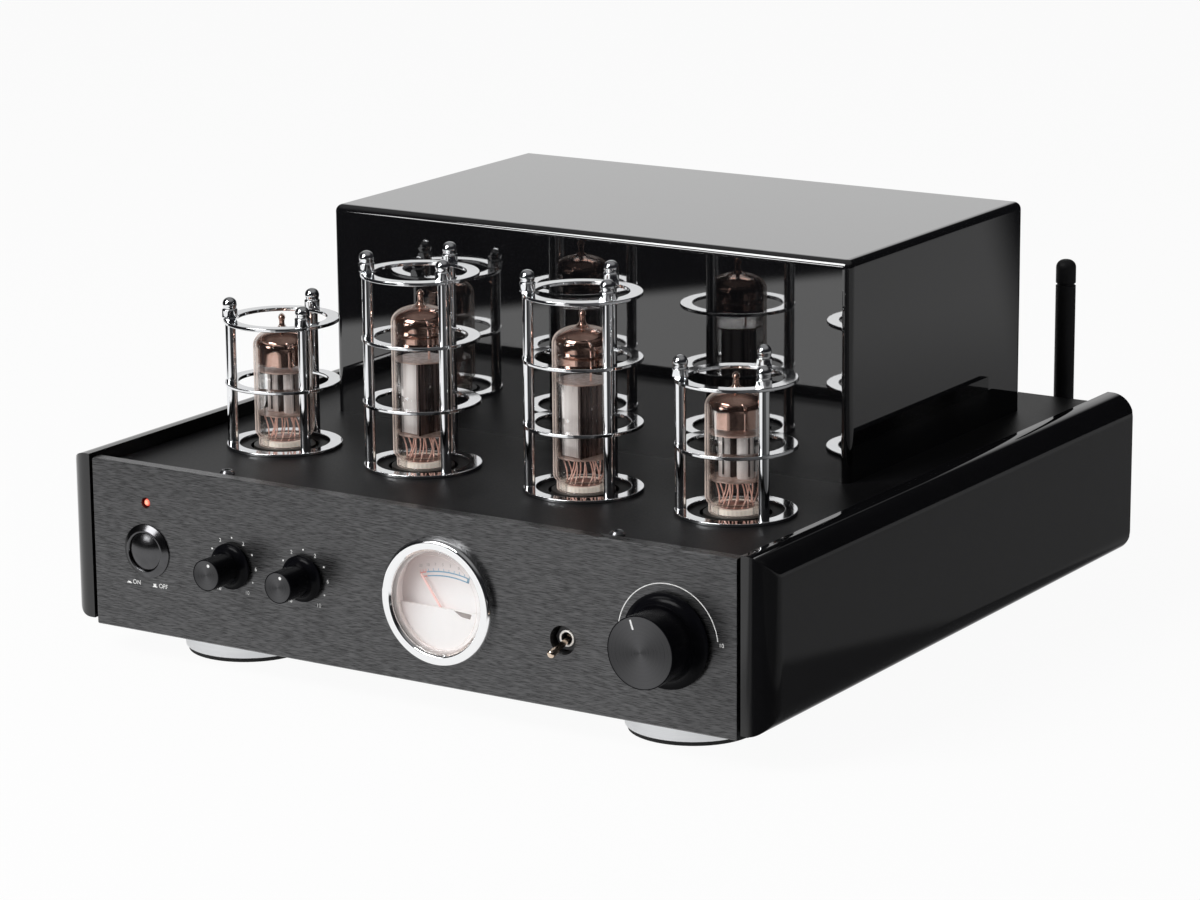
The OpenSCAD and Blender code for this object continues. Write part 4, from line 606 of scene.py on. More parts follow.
@dataclass
class Assembly:
    """A sub-assembly: it builds its pieces and dresses its solids."""

    nodes: dict[str, bpy.types.Object]

    def add(self, name: str, surfaces: Iterable[Surface], finish: Finish, body: str = ROOT,
            stands_for: Sequence[str] = (), solid: bool = True) -> bpy.types.Object:
        """Makes a piece, finishes it and sets it on its body.

        Args:
            name: the piece's name.
            surfaces: its surfaces.
            finish: its finish.
            body: the body that it rides on.
            stands_for: solids that it replaces.
            solid: whether its surfaces are closed.

        Returns:
            The piece.
        """
        return self.seat(make_mesh(name, surfaces, solid), finish, body, stands_for)

    def seat(self, piece: bpy.types.Object, finish: Finish, body: str = ROOT,
             stands_for: Sequence[str] = ()) -> bpy.types.Object:
        """Finishes a made piece and sets it on its body, as add does."""
        piece.data.materials.append(finish.material())
        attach(piece, body)
        if stands_for:
            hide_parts(*stands_for)
        LOG.info("piece %s: %d faces, on %s", piece.name, len(piece.data.polygons), body)
        return piece

    def dress(self, finish: Finish, *names: str) -> None:
        """Gives solids that stay in view a finish."""
        for name in names:
            self.nodes[name].data.materials.clear()
            self.nodes[name].data.materials.append(finish.material())

    def word(self, name: str, text: str, place: Point, size: float, finish: Finish) -> None:
        """A number or a switch's word, made a mesh and then set upright, facing the front.

        Args:
            name: the piece's name.
            text: what it says.
            place: its middle.
            size: height of its capitals, about.
            finish: its finish.
        """
        curve = bpy.data.curves.new(name, "FONT")
        curve.body, curve.size = text, size * 1.35 * MM
        curve.align_x, curve.align_y = "CENTER", "CENTER"
        holder = bpy.data.objects.new(name + "_line", curve)
        bpy.context.scene.collection.objects.link(holder)
        bpy.context.view_layer.update()
        mesh = bpy.data.meshes.new_from_object(holder.evaluated_get(bpy.context.evaluated_depsgraph_get()))
        bpy.data.objects.remove(holder)
        flat = np.zeros(len(mesh.vertices) * 3, np.float32)
        mesh.vertices.foreach_get("co", flat)
        p = flat.reshape(-1, 3)
        x, y, z = (v * MM for v in place)
        moved = np.stack([p[:, 0] + x, np.full(len(p), y), p[:, 1] + z], 1)
        mesh.vertices.foreach_set("co", moved.astype(np.float32).ravel())
        mesh.materials.clear()
        mesh.update()
        piece = bpy.data.objects.new(name, mesh)
        bpy.context.scene.collection.objects.link(piece)
        self.seat(piece, finish)

    def build(self) -> None:
        """Builds and dresses everything; each sub-assembly has its own."""
        raise NotImplementedError


@dataclass
class Case(Assembly):
    """Panel, deck, tray, cheeks, cover, feet and the screws on the deck."""

    cheek_x: tuple = (139.0, 150.0)
    cheek_y: tuple = (-141.75, 138.25)
    cheek_z: tuple = (14.0, 76.8)
    cheek_r: float = 9.0
    hold: float = 0.4
    cover_half: tuple = (113.25, 68.0)
    cover_mid: float = 46.85
    cover_top: float = 153.1
    cover_r: float = 3.0
    cover_wall: float = 1.5
    cover_hold: float = 0.3
    foot_r: float = 24.8
    foot_h: float = 12.0
    foot_taper: float = 0.8
    pad_h: float = 1.6
    foot_at: tuple = ((-96.8, -102.35), (96.8, -102.35), (-96.8, 101.85), (96.8, 101.85))
    screw_at: tuple = ((-88.9, -123.75), (79.4, -123.75), (-60.0, 130.25), (60.0, 130.25))
    screw_r: float = 2.8
    screw_h: float = 1.8
    socket_r: float = 1.5

    def build(self) -> None:
        """Dresses the plates and builds cheeks, cover, feet and screws."""
        self.dress(BLACK_PANEL, "front_panel")
        self.dress(DECK_BLACK, "deck_plate")
        self.dress(TRAY_BLACK, "chassis_tray", "rear_panel")
        self.dress(FOOT_RUBBER, "foot_pads")
        self.dress(SHAFT_STEEL, "case_screws")
        for side, name in ((-1, "left_cheek"), (1, "right_cheek")):
            self.cheek(side, name)
        self.cover()
        self.feet()
        self.screws()

    def cheek(self, side: int, name: str) -> None:
        """A bar with a round outer side and a round front.

        Its section is carried along its length, and no point lies further out than the front's own round:
        x = min(section x, x of a quarter circle at that depth). Rows a little beside the rounds hold them.

        Args:
            side: -1 for the left and 1 for the right.
            name: the solid that it stands for.
        """
        (x0, x1), (y0, y1), (z0, z1) = self.cheek_x, self.cheek_y, self.cheek_z
        r, hold = self.cheek_r, self.hold
        b = np.linspace(0, math.pi / 2, 21)
        quarter = np.stack([x1 - r + r * np.cos(b), r * np.sin(b)], 1)
        low = quarter[::-1] * np.array([1, -1]) + np.array([0, z0 + r])
        section = np.concatenate([
            [(x0, z0), (x1 - r - hold, z0)], low, [(x1, z0 + r + hold), (x1, z1 - r - hold)],
            quarter + np.array([0, z1 - r]), [(x1 - r - hold, z1), (x0, z1)]])
        depth = np.concatenate([y0 + r - r * np.cos(b), [y0 + r + hold, y1 - 2 * hold, y1 - hold, y1]])
        limit = np.concatenate([x1 - r + r * np.sin(b), [x1, x1, x1, x1 - hold]])
        x = np.minimum(section[None, :, 0], limit[:, None])
        y = np.broadcast_to(depth[:, None], x.shape)
        z = np.broadcast_to(section[None, :, 1], x.shape)
        middle = np.array([[[x0, y0, (z0 + z1) / 2]], [[x0, y1, (z0 + z1) / 2]]])
        grid = np.stack([x, y, z], -1)
        caps = [np.broadcast_to(m, (1, *grid.shape[1:])) for m in middle]
        points = np.concatenate([caps[0], grid, caps[1]]) * np.array([side, 1, 1])
        self.add(name + "_bar", [Surface(points)], PIANO_BLACK, stands_for=[name])

    def cover(self) -> None:
        """A rectangle with round corners, carried up and drawn in over a round top edge, with a thin wall.

        Row v has half sizes less its inset and a corner radius less its inset, at its own height. Rows and
        columns close beside the rounds keep the flats flat in a mirror.
        """
        r, t, top = self.cover_r, self.cover_wall, self.cover_top
        a = np.linspace(0, math.pi / 2, 9)
        hold, inmost = self.cover_hold, self.cover_half[1] - 0.01
        inset = np.concatenate([[0, 0], r - r * np.cos(a), [r + hold, inmost]])
        height = np.concatenate([[DECK_Z, top - r - hold], top - r + r * np.sin(a), [top, top]])
        inside = np.concatenate([[inmost], t + (r - t) * (1 - np.sin(a)), [t]])
        under = np.concatenate([[top - t], top - t - (r - t) * (1 - np.cos(a)), [DECK_Z]])
        inset, height = np.concatenate([inset, inside]), np.concatenate([height, under])
        bow = np.concatenate([[0], a, [math.pi / 2]])
        u = np.concatenate([q + bow for q in np.arange(4) * math.pi / 2])
        slide = np.tile(np.concatenate([[-hold], np.zeros(9), [hold]]), 4)[None]
        corner = np.maximum(r - inset, 0.0)[:, None]
        half = np.maximum(np.array(self.cover_half)[None] - inset[:, None], 0.01) - corner
        sign = np.repeat(np.array([(1, 1), (-1, 1), (-1, -1), (1, -1)]), 11, axis=0)
        slide = slide * np.minimum(1.0, half[:, 1:])
        x = half[:, :1] * sign[None, :, 0] + corner * np.cos(u)[None] - slide * np.sin(u)[None]
        y = half[:, 1:] * sign[None, :, 1] + corner * np.sin(u)[None] + slide * np.cos(u)[None]
        y = y + self.cover_mid
        z = np.broadcast_to(height[:, None], x.shape)
        self.add("cover_shell", [Surface(np.stack([x, y, z], -1), wrap_rows=True)], COVER_BLACK,
                 stands_for=["transformer_cover"])

    def feet(self) -> None:
        """Turned feet: a slightly tapered wall between two rounded edges, hollow for the screw below."""
        r, h = self.foot_r, self.foot_h
        low = r - self.foot_taper
        profile = rounded([(0, h), (r, h), (low, self.pad_h), (4, self.pad_h), (4, h - 4), (0, h - 4)],
                          [0, 1.0, 0.5, 0.3, 0.3, 0])
        feet = [turned(profile, (x, y, 0), segments=128) for x, y in self.foot_at]
        self.add("foot_turnings", feet, FOOT_SILVER, stands_for=["foot_shells"])

    def screws(self) -> None:
        """Button-head screws: a low dome with a six-sided socket sunk into it."""
        r, h, s = self.screw_r, self.screw_h, self.socket_r
        profile = rounded([(0, h - 1.1), (s, h - 1.1), (s, h), (r * 0.7, h), (r, h * 0.35), (r, 0), (0, 0)],
                          [0, 0.05, 0.12, 0.5, 0.4, 0.1, 0])
        swell = np.where(profile[:, :1] <= s + 0.05, hexagon(48)[None], 1.0)
        heads = [turned(profile, (x, y, DECK_Z), segments=48, swell=swell) for x, y in self.screw_at]
        self.add("deck_screw_heads", heads, SCREW_STEEL, stands_for=["deck_screws"])


@dataclass
class Tubes(Assembly):
    """Glass, getter coat, plates, discs and wires of the four tubes, and their sockets."""

    glass_r: float = 11.0
    wall: float = 0.9
    base_z: float = 71.9
    dome_h: float = 6.2
    corner_h: float = 4.8
    neck_r: float = 3.8
    neck_h: float = 2.8
    tip_r: float = 1.0
    tip_h: float = 3.5
    bulb_r: float = 1.35
    foot_r: float = 9.7
    stem_h: float = 2.0
    disc_low: float = 12.0
    disc_t: float = 0.5
    disc_r: float = 9.6
    driver_half: tuple = (2.9, 2.9)
    driver_off: float = 3.7
    driver_turn: float = 20.0
    power_half: tuple = (4.75, 6.3)
    power_turn: float = -10.0
    wire_count: int = 14
    wire_r: float = 0.27
    wire_foot: float = 5.9
    wire_top: float = 8.0
    getter_r: float = 3.4
    getter_rise: float = 5.2
    heights: tuple = (50.2, 65.7, 65.7, 50.2)
    plates: tuple = (16.0, 27.0, 27.0, 16.0)
    coat_from: tuple = (30.5, 44.0, 44.0, 30.5)

    def build(self) -> None:
        """Builds each tube in turn."""
        self.dress(SOCKET_BLACK, "tube_sockets")
        self.dress(BOARD_GREEN, "tube_board")
        self.dress(PIN_METAL, "tube_pins")
        rows = zip(TUBES, TUBE_X, self.heights, self.plates, self.coat_from)
        for name, x, height, plate, coat in rows:
            origin = (x, ROW_Y, self.base_z)
            self.glass(name, origin, height)
            self.coat(name, origin, height, coat)
            self.inside(name, origin, plate)

    def dome(self, height: float) -> np.ndarray:
        """Outer outline from the shoulder over the dome and a neck to the small bulb of the tip.

        Args:
            height: height of the tip.

        Returns:
            Points as radius and height.
        """
        r, low = self.glass_r, self.shoulder(height)
        top = low + self.dome_h
        slope = (self.dome_h - self.corner_h) / (r - self.neck_r)
        neck, end = (self.neck_r, top), (self.tip_r, top + self.neck_h)
        over = bend((r, low), (r, low + self.corner_h), neck)
        flare = bend(neck, (self.tip_r, top + slope * (self.neck_r - self.tip_r)), end)
        rise, wide = self.tip_h / 2, self.bulb_r
        swollen = (wide, end[1] + rise)
        tip = np.concatenate([bend(end, (self.tip_r, end[1] + rise * 0.5), swollen, 6),
                              bend(swollen, (wide, height - 0.6), (0, height))])
        return np.concatenate([[(r, low - 3), (r, low)], over, flare, tip])

    def shoulder(self, height: float) -> float:
        """Height of the straight glass's upper end."""
        return height - self.tip_h - self.neck_h - self.dome_h

    def inner(self, height: float) -> np.ndarray:
        """Inner outline from the dome's middle down to the shoulder, one bend."""
        r, low = self.glass_r - self.wall, self.shoulder(height)
        top = np.array([[0, low + self.dome_h - self.wall / 2]])
        return np.concatenate([top, bend(top[0], (r, low + self.corner_h - self.wall), (r, low), 20)])

    def glass(self, name: str, origin: Point, height: float) -> None:
        """The envelope: its outer outline down to the rim and its inner one up again, turned once."""
        r, f, t = self.glass_r, self.foot_r, self.wall
        rim = rounded([(r, 8), (r, 4.8), (f, 3.2), (f, 0), (f - t, 0), (f - t, 3.4), (r - t, 5), (r - t, 8)],
                      [0, 1.4, 0.8, 0.4, 0.4, 0.6, 1.0, 0])
        profile = np.concatenate([self.dome(height)[::-1], rim, self.inner(height)[::-1]])
        self.add(name + "_envelope", [turned(profile, origin, segments=112)], TUBE_GLASS,
                 stands_for=[name + "_glass"])

    def coat(self, name: str, origin: Point, height: float, low: float) -> None:
        """The mirror coat under the dome and in the tip, with a ragged lower edge.

        It is the dome's outline, drawn in by the wall's share of its radius and lowered by half a wall, and a
        straight sleeve below.
        """
        share = 1 - (self.wall + 0.06) / self.glass_r
        curve = self.dome(height)[2:] * np.array([share, 1.0]) - np.array([0.0, self.wall / 2])
        rise = np.linspace(low, self.shoulder(height) - self.wall, 9)
        profile = np.concatenate([np.stack([np.full(9, self.glass_r * share), rise], 1), curve])
        finish = Finish(name + "_getter", (0.2, 0.085, 0.055), (0.86, 0.59, 0.49), 0.06, 0.05, 0.95,
                        scale=160.0, bump=0.0, clear=Clear.EDGE,
                        fade_from=self.base_z + low + 1.2, fade_to=self.base_z + low + 1.8)
        self.add(name + "_getter_coat", [turned(profile, origin, segments=96)], finish, solid=False)

    def inside(self, name: str, origin: Point, plate: float) -> None:
        """Plates, mica discs, wires and stem of one tube."""
        driver = "driver" in name
        node = ["driver_electrodes" if driver else "power_electrodes"]
        low = self.disc_low + self.disc_t
        high = low + plate
        x, y, z = origin

        def column(half: tuple, power: float, start: float, end: float, off: Sequence[float] = (0.0, 0.0),
                   turn: float = self.power_turn, segments: int = 64) -> Surface:
            """A sleeve set off from the tube's axis."""
            return plate_column(half, power, start, end, (x + off[0], y + off[1], z), turn, segments)

        if driver:
            sides = [(s, (s * self.driver_off, 0.0)) for s in (-1, 1)]
            columns = [column(self.driver_half, 2.6, low, high, off, self.driver_turn) for _, off in sides]
            # Near-black bars at the plates' sides and middle: painted shade for the gaps there.
            seams = [column((0.3, 3.5), 6, low + 1, high - 1, off, 30 + 25 * s) for s, off in sides]
            seams.append(column((0.5, 2.4), 6, low, high, turn=-self.driver_turn))
        else:
            w, d = self.power_half
            a = math.radians(self.power_turn)
            turn = np.array([[math.cos(a), math.sin(a)], [-math.sin(a), math.cos(a)]])
            ribs = np.array([(w, -3.0), (w, 0.4), (w, 3.6)]) @ turn
            faces = np.array([(-0.5, -6.25), (0.5, 6.25)]) @ turn
            edges = np.array([(w, -d), (-w, -d), (w, d)]) @ turn
            sleeve = [column(self.power_half, 9, low, high)]
            sleeve += [column((0.25, 0.55), 2, low + 1, high - 1, off, segments=24) for off in ribs]
            self.add(name + "_plate_sleeve", sleeve, PLATE_MAUVE_SHADED_SIDES, stands_for=node)
            columns = [column((5.0, 0.3), 6, low + h, low + h + 0.9, (0.0, -0.6)) for h in (8.0, 17.0)]
            # Pale broad faces over the mauve sleeve: a painted lit side against painted shaded sides.
            columns += [column((3.9, 0.25), 9, low + 0.3, high - 0.3, off) for off in faces]
            # Near-black bars along the sleeve's edges: painted shade.
            seams = [column((0.45, 0.45), 2, low, high, off, 0, 16) for off in edges]
        self.add(name + "_plates", columns, PLATE_GREY, stands_for=node)
        self.add(name + "_plate_seams", seams, PLATE_DARK_PAINTED_SHADE, stands_for=node)
        self.discs(name, origin, plate, node)
        self.wires(name, origin, plate, node)

    def discs(self, name: str, origin: Point, plate: float, node: Sequence[str]) -> None:
        """Mica discs and the ribbed stem below them.

        A disc has eight shallow notches: its radius drops by 5% where |cos 4u| is near one. The stem's radius
        swings by 1.2% thirty-six times round.
        """
        u = np.linspace(0, 2 * math.pi, 96, endpoint=False)
        notch = 1 - 0.05 * np.abs(np.cos(4 * u)) ** 8
        t, r, h = self.disc_t, self.disc_r, self.stem_h
        profile = rounded([(0, 0), (r, 0), (r, t), (0, t)], 0.12)
        swell = np.broadcast_to(notch, (len(profile), 96))
        discs = [turned(profile, (origin[0], origin[1], origin[2] + level), swell=swell)
                 for level in (self.disc_low, self.disc_low + t + plate)]
        self.add(name + "_discs", discs, MICA_PAINTED_GLOW, stands_for=node)
        edge = self.foot_r - self.wall - 0.1
        floor = rounded([(edge - 2.0, h + 0.2), (3.2, h + 0.8), (0, h + 1.2)], 0.8)
        self.add(name + "_stem_floor", [turned(floor, origin)], STEM_BROWN, stands_for=node, solid=False)
        section = [(0, 0.2), (edge, 0.2), (edge, h + 0.4), (edge - 2.2, h), (3.2, h + 0.6), (0, h + 1.0)]
        stem = rounded(section, [0, 0.3, 0.5, 1.0, 1.0, 0])
        ribs = 1 + 0.012 * np.cos(36 * np.linspace(0, 2 * math.pi, 216, endpoint=False))
        swell = np.broadcast_to(ribs, (len(stem), 216))
        foot = turned(stem, origin, segments=216, swell=swell)
        self.add(name + "_stem", [foot], STEM_CREAM_PAINTED_GLOW, stands_for=node)

    def wires(self, name: str, origin: Point, plate: float, node: Sequence[str]) -> None:
        """Copper wires from the stem's circle to the lower disc, and the getter's ring on its post.

        A wire is a straight line from foot to top plus a bow of sin(pi t), and every second one leans in.
        """
        count, foot, base = self.wire_count, self.wire_foot, np.array(origin)
        angles = np.radians(np.arange(count) * 360.0 / count + 10.0)
        t = np.linspace(0, 1, 12)[:, None]
        lean = self.wire_top * np.where(np.arange(count) % 2 == 0, 1.0, 0.4)
        starts = np.stack([foot * np.cos(angles), foot * np.sin(angles), np.full(count, self.stem_h)], 1)
        ends = np.stack([lean * np.cos(angles + 0.3), lean * np.sin(angles + 0.3),
                         np.full(count, self.disc_low + 0.1)], 1)
        bow = np.sin(t * math.pi) * np.array([[0.5, 0.4, 0.0]])
        wires = [round_wire(base + a + t * (b - a) + bow, self.wire_r) for a, b in zip(starts, ends)]
        r, rise, top = self.getter_r, self.getter_rise, self.disc_low + self.disc_t + plate
        wires.append(round_wire(base + np.array([r, 0, top]) + t * np.array([[0, 0, rise]]), 0.4))
        section = np.stack([r + 0.9 * np.cos(angles), top + rise + 0.6 * np.sin(angles)], 1)
        wires.append(turned(section, origin, segments=48, closed=True))
        self.add(name + "_wires", wires, WIRE_COPPER_PAINTED_GLOW, stands_for=node)


@dataclass
class Cages(Assembly):
    """Rings, posts and acorn finials round the tubes."""

    ring_r: float = 21.8
    ring_w: float = 4.8
    ring_t: float = 1.3
    level: float = 23.8
    post_r: float = 2.0
    collar_r: float = 3.0
    ball_r: float = 2.7
    ball_z: float = 5.0
    tiers: tuple = (2, 3, 3, 2)
    angles: tuple = (-150.0, -30.0, 90.0)

    def post_places(self) -> list[tuple[float, float, int]]:
        """X, Y and number of tiers of every post."""
        r = self.ring_r - self.ring_w / 2
        return [(x + r * math.cos(math.radians(a)), ROW_Y + r * math.sin(math.radians(a)), n)
                for x, n in zip(TUBE_X, self.tiers) for a in self.angles]

    def build(self) -> None:
        """Builds rings, posts and finials."""
        self.dress(SHAFT_STEEL, "cage_screws")
        for name, x, n in zip(TUBES, TUBE_X, self.tiers):
            self.rings(name, x, n)
        self.posts()
        self.finials()

    def rings(self, name: str, x: float, tiers: int) -> None:
        """Flat rings: a small rectangle with rounded corners carried round the tube's axis."""
        r, w, t = self.ring_r, self.ring_w, self.ring_t
        section = rounded([(r - w, 0), (r, 0), (r, t), (r - w, t)], 0.32, closed=True)
        rings = [turned(section, (x, ROW_Y, DECK_Z + k * self.level), segments=144, closed=True)
                 for k in range(tiers + 1)]
        self.add(name + "_cage_rings", rings, CAGE_CHROME, stands_for=[name + "_rings"])

    def posts(self) -> None:
        """Posts between the rings, each with small rounded ends."""
        h = self.level - self.ring_t
        profile = rounded([(0, 0), (self.post_r, 0), (self.post_r, h), (0, h)], 0.18)
        posts = [turned(profile, (x, y, DECK_Z + self.ring_t + k * self.level), segments=40)
                 for x, y, n in self.post_places() for k in range(n)]
        self.add("cage_pillars", posts, CAGE_CHROME, stands_for=["cage_posts"])

    def finials(self) -> None:
        """Acorn nuts: a six-sided collar that blends into a ball on a short neck."""
        r, b = self.collar_r, self.ball_r
        collar = rounded([(0, 0), (r, 0), (r, 2.9), (r - 0.5, 3.4)], [0, 0.3, 0.35, 0])
        a = np.linspace(-0.4, math.pi / 2, 22)
        ball = np.stack([b * np.cos(a), self.ball_z + b * np.sin(a)], 1)
        profile = np.concatenate([collar, ball])
        share = np.clip((3.0 - profile[:, 1:]) / 0.8, 0, 1)
        swell = 1 + share * (hexagon(60)[None] * 1.06 - 1)
        nuts = [turned(profile, (x, y, DECK_Z + n * self.level + self.ring_t), segments=60, swell=swell)
                for x, y, n in self.post_places()]
        self.add("cage_acorns", nuts, CAGE_CHROME, stands_for=["cage_finials"])


@dataclass
class Knob(Assembly):
    """A skirted knob with a spun face; the values given here are the volume knob's."""

    name: str = "volume"
    x: float = 110.5
    skirt_r: float = 16.9
    face_r: float = 12.9
    out: float = 18.0
    skirt_t: float = 1.0
    flare: float = 3.4
    gap: float = 0.8

    def build(self) -> None:
        """Turns the knob's body and sets the spun face in it."""
        r, f, low = self.skirt_r, self.face_r, self.gap
        top = low + self.skirt_t
        a = np.linspace(0, math.pi / 2, 14)
        hollow = np.stack([r - (r - f) * np.sin(a), top + self.flare * (1 - np.cos(a))], 1)
        foot = rounded([(3.2, low + 6), (3.2, low), (r, low), (r, top)], [0, 0.2, 0.5, 0])
        head = rounded([(f, top + self.flare), (f, self.out), (f - 0.4, self.out), (f - 0.4, self.out - 0.1)],
                       [0, 0.3, 0.05, 0])
        origin = (self.x, FRONT_Y, CONTROL_Z)
        profile = np.concatenate([foot, hollow, head])
        self.add(self.name + "_knob_body", [turned(profile, origin, Axis.FRONT, 128)], KNOB_BLACK, self.name,
                 [self.name + "_knob"], solid=False)
        dish = np.array([(f - 0.38, self.out - 0.06), (f * 0.6, self.out - 0.09), (0, self.out - 0.1)])
        # The spun face carries a painted sheen: two brighter sectors in its colour.
        face = Finish(self.name + "_face", (0.02, 0.02, 0.021), (0.12, 0.12, 0.124), 0.3, 0.1, 0.9,
                      pattern=Pattern.SPUN, scale=3000.0, bump=0.03, centre=origin)
        disc = turned(dish, origin, Axis.FRONT, 128)
        self.add(self.name + "_knob_face", [disc], face, self.name, solid=False)
        self.dress(SHAFT_STEEL, self.name + "_shaft")


@dataclass
class Controls(Assembly):
    """Power button, lamp, knobs, source switch and the print on the panel."""

    button_x: float = -113.0
    bezel_r: float = 10.2
    bezel_out: float = 2.0
    button_r: float = 6.9
    button_out: float = 2.8
    button_dome: float = 1.5
    tone_x: tuple = (("treble", -73.9), ("bass", -41.9))
    tone_size: tuple = (8.55, 5.8, 15.8)
    tone_rest: float = 17.0
    dot_r: float = 3.8
    dot_size: float = 0.6
    ring_r: float = 10.4
    ring_dot: float = 0.36
    ring_angles: tuple = (-120, -60, 0, 60, 120)
    volume_rest: float = -19.0
    pointer_r: tuple = (8.2, 11.7)
    pointer_half: float = 0.35
    arc_r: tuple = (19.65, 20.0)
    arc_half: float = 83.0
    lever_x: float = 68.2
    lever_z: float = 36.8
    lever_tilt: float = 13.0
    sign_drop: float = 13.4
    sign_half: tuple = (1.1, 0.6)
    sign_bar: float = 0.35
    word_drop: float = 12.65
    word_size: float = 1.75
    number_size: float = 1.5
    numbers: tuple = (("2", 5.2, 8.8), ("6", 10.6, 0.0), ("10", 6.4, -9.4))

    def build(self) -> None:
        """Dresses the solids and builds button, knobs, switch and print."""
        self.dress(SWITCH_BLACK, "power_switch")
        self.dress(LAMP_RED, "power_lamp")
        self.dress(SHAFT_STEEL, "control_pots")
        self.dress(SWITCH_BLACK, "control_nuts", "source_switch")
        self.button()
        for name, x in self.tone_x:
            Knob(self.nodes, name, x, *self.tone_size).build()
            a = math.radians(self.tone_rest)
            spot = (x + self.dot_r * math.sin(a), FRONT_Y - self.tone_size[2] + PRINT_GAP,
                    CONTROL_Z + self.dot_r * math.cos(a))
            self.add(name + "_dot", [self.dot(spot, self.dot_size, 24)], MARK_WHITE, name, solid=False)
        Knob(self.nodes).build()
        self.pointer()
        self.lever()
        self.prints()

    @staticmethod
    def dot(place: Point, radius: float, segments: int) -> Surface:
        """A flat round spot that faces the front."""
        return turned(np.array([(radius, 0.0), (0.0, 0.0)]), place, Axis.FRONT, segments)

    def button(self) -> None:
        """Bezel with a rounded slope, and in it the button, whose face is a cap of a ball."""
        r, b = self.bezel_r, self.bezel_out
        section = [(7.1, -5), (8.4, -5), (8.4, 0), (r, 0), (r, 0.5), (8.0, b), (7.4, b), (7.1, b - 0.5)]
        bezel = rounded(section, [0, 0.1, 0.1, 0.1, 0.25, 0.9, 0.25, 0])
        origin = (self.button_x, FRONT_Y, CONTROL_Z)
        self.add("power_bezel_ring", [turned(bezel, origin, Axis.FRONT, 112)], BUTTON_BLACK,
                 stands_for=["power_bezel"], solid=False)
        ball = (self.button_r ** 2 + self.button_dome ** 2) / (2 * self.button_dome)
        across = np.linspace(self.button_r, 0, 24)
        dome = np.stack([across, self.button_out - ball + np.sqrt(ball ** 2 - across ** 2)], 1)
        side = rounded([(0, -11.5), (2.5, -11.5), (2.5, -2.1), (self.button_r, -2.1), tuple(dome[0])],
                       [0, 0.2, 0.1, 0.3, 0])
        cap = turned(np.concatenate([side, dome]), origin, Axis.FRONT, 112)
        self.add("power_button_cap", [cap], BUTTON_BLACK, "button", ["power_button"])

    def pointer(self) -> None:
        """The white line on the volume knob's face, a short band from near the middle to the edge."""
        a, half = math.radians(self.volume_rest), self.pointer_half
        along, across = np.array([math.sin(a), math.cos(a)]), np.array([math.cos(a), -math.sin(a)])
        v, u = np.meshgrid(np.linspace(*self.pointer_r, 6), np.array([-half, half]), indexing="ij")
        flat = np.array([Knob.x, CONTROL_Z]) + v[..., None] * along + u[..., None] * across
        y = np.full_like(v, FRONT_Y - Knob.out + PRINT_GAP)
        line = Surface(np.stack([flat[..., 0], y, flat[..., 1]], -1)[::-1], wrap_columns=False)
        self.add("volume_pointer", [line], MARK_WHITE, "volume", solid=False)

    def lever(self) -> None:
        """The switch's nut, bush and lever: a slim cone that swells to a rounded tip, tilted down."""
        outline = [(0, -2), (2, -1.2), (2, 1), (1.0, 2.2), (1.05, 6), (1.5, 12.5), (1.5, 14.4), (0, 15)]
        profile = rounded(outline, [0, 0.8, 0.8, 0.4, 1.2, 0.8, 0.9, 0])
        grid = turned(profile, (0, 0, 0), Axis.FRONT, 48)
        tilt = np.array(Matrix.Rotation(math.radians(self.lever_tilt), 3, "X"))
        grid.points = grid.points @ tilt.T + np.array([self.lever_x, FRONT_Y + 6.0, self.lever_z])
        self.add("source_lever_rod", [grid], LEVER_BRASS, "lever", ["source_lever"])
        middle = (self.lever_x, FRONT_Y + 5.0, self.lever_z)
        nut = rounded([(3.1, 0), (4.6, 0), (4.6, 1.1), (3.1, 1.2)], [0, 0.1, 0.3, 0], closed=True)
        swell = np.where(nut[:, :1] > 4.0, hexagon(60)[None], 1.0)
        self.add("source_nut", [turned(nut, middle, Axis.FRONT, 60, swell, True)], SWITCH_BLACK)
        bush = rounded([(2.2, 1.0), (3.05, 1.0), (3.05, 2.5), (2.2, 2.5)], [0.1, 0.1, 0.3, 0.25], closed=True)
        self.add("source_bush", [turned(bush, middle, Axis.FRONT, 60, closed=True)], BUSH_BRIGHT)

    def prints(self) -> None:
        """Dots and numbers round the tone knobs, the volume knob's arc, and the switch's signs and words."""
        y, r = FRONT_Y - PRINT_GAP, self.ring_r
        marks = []
        for _, x in self.tone_x:
            for a in np.radians(self.ring_angles):
                spot = (x + r * math.sin(a), y, CONTROL_Z + r * math.cos(a))
                marks.append(self.dot(spot, self.ring_dot, 16))
        marks.append(flat_arc((Knob.x, CONTROL_Z), y, *self.arc_r, -self.arc_half, self.arc_half))
        foot, (wide, slim) = CONTROL_Z - self.sign_drop, self.sign_half
        top = foot + self.sign_bar
        for x, rise in ((self.button_x - 8.9, 0.4), (self.button_x + 3.0, 1.0)):
            marks.append(flat_patch((x - wide, x + wide), (foot, top), y))
            marks.append(flat_patch((x - slim, x + slim), (top, top + rise), y))
        self.add("panel_dots", marks, MARK_WHITE, solid=False)
        words = [("ON", self.button_x - 5.4, -self.word_drop, self.word_size),
                 ("OFF", self.button_x + 6.9, -self.word_drop, self.word_size),
                 ("10", Knob.x + 21.1, 1.2, self.number_size)]
        words += [(text, x + side * off, rise, self.number_size)
                  for _, x in self.tone_x for side in (-1, 1) for text, off, rise in self.numbers]
        for number, (text, x, rise, size) in enumerate(words):
            self.word("panel_print_%02d" % number, text, (x, y, CONTROL_Z + rise), size, MARK_WHITE)


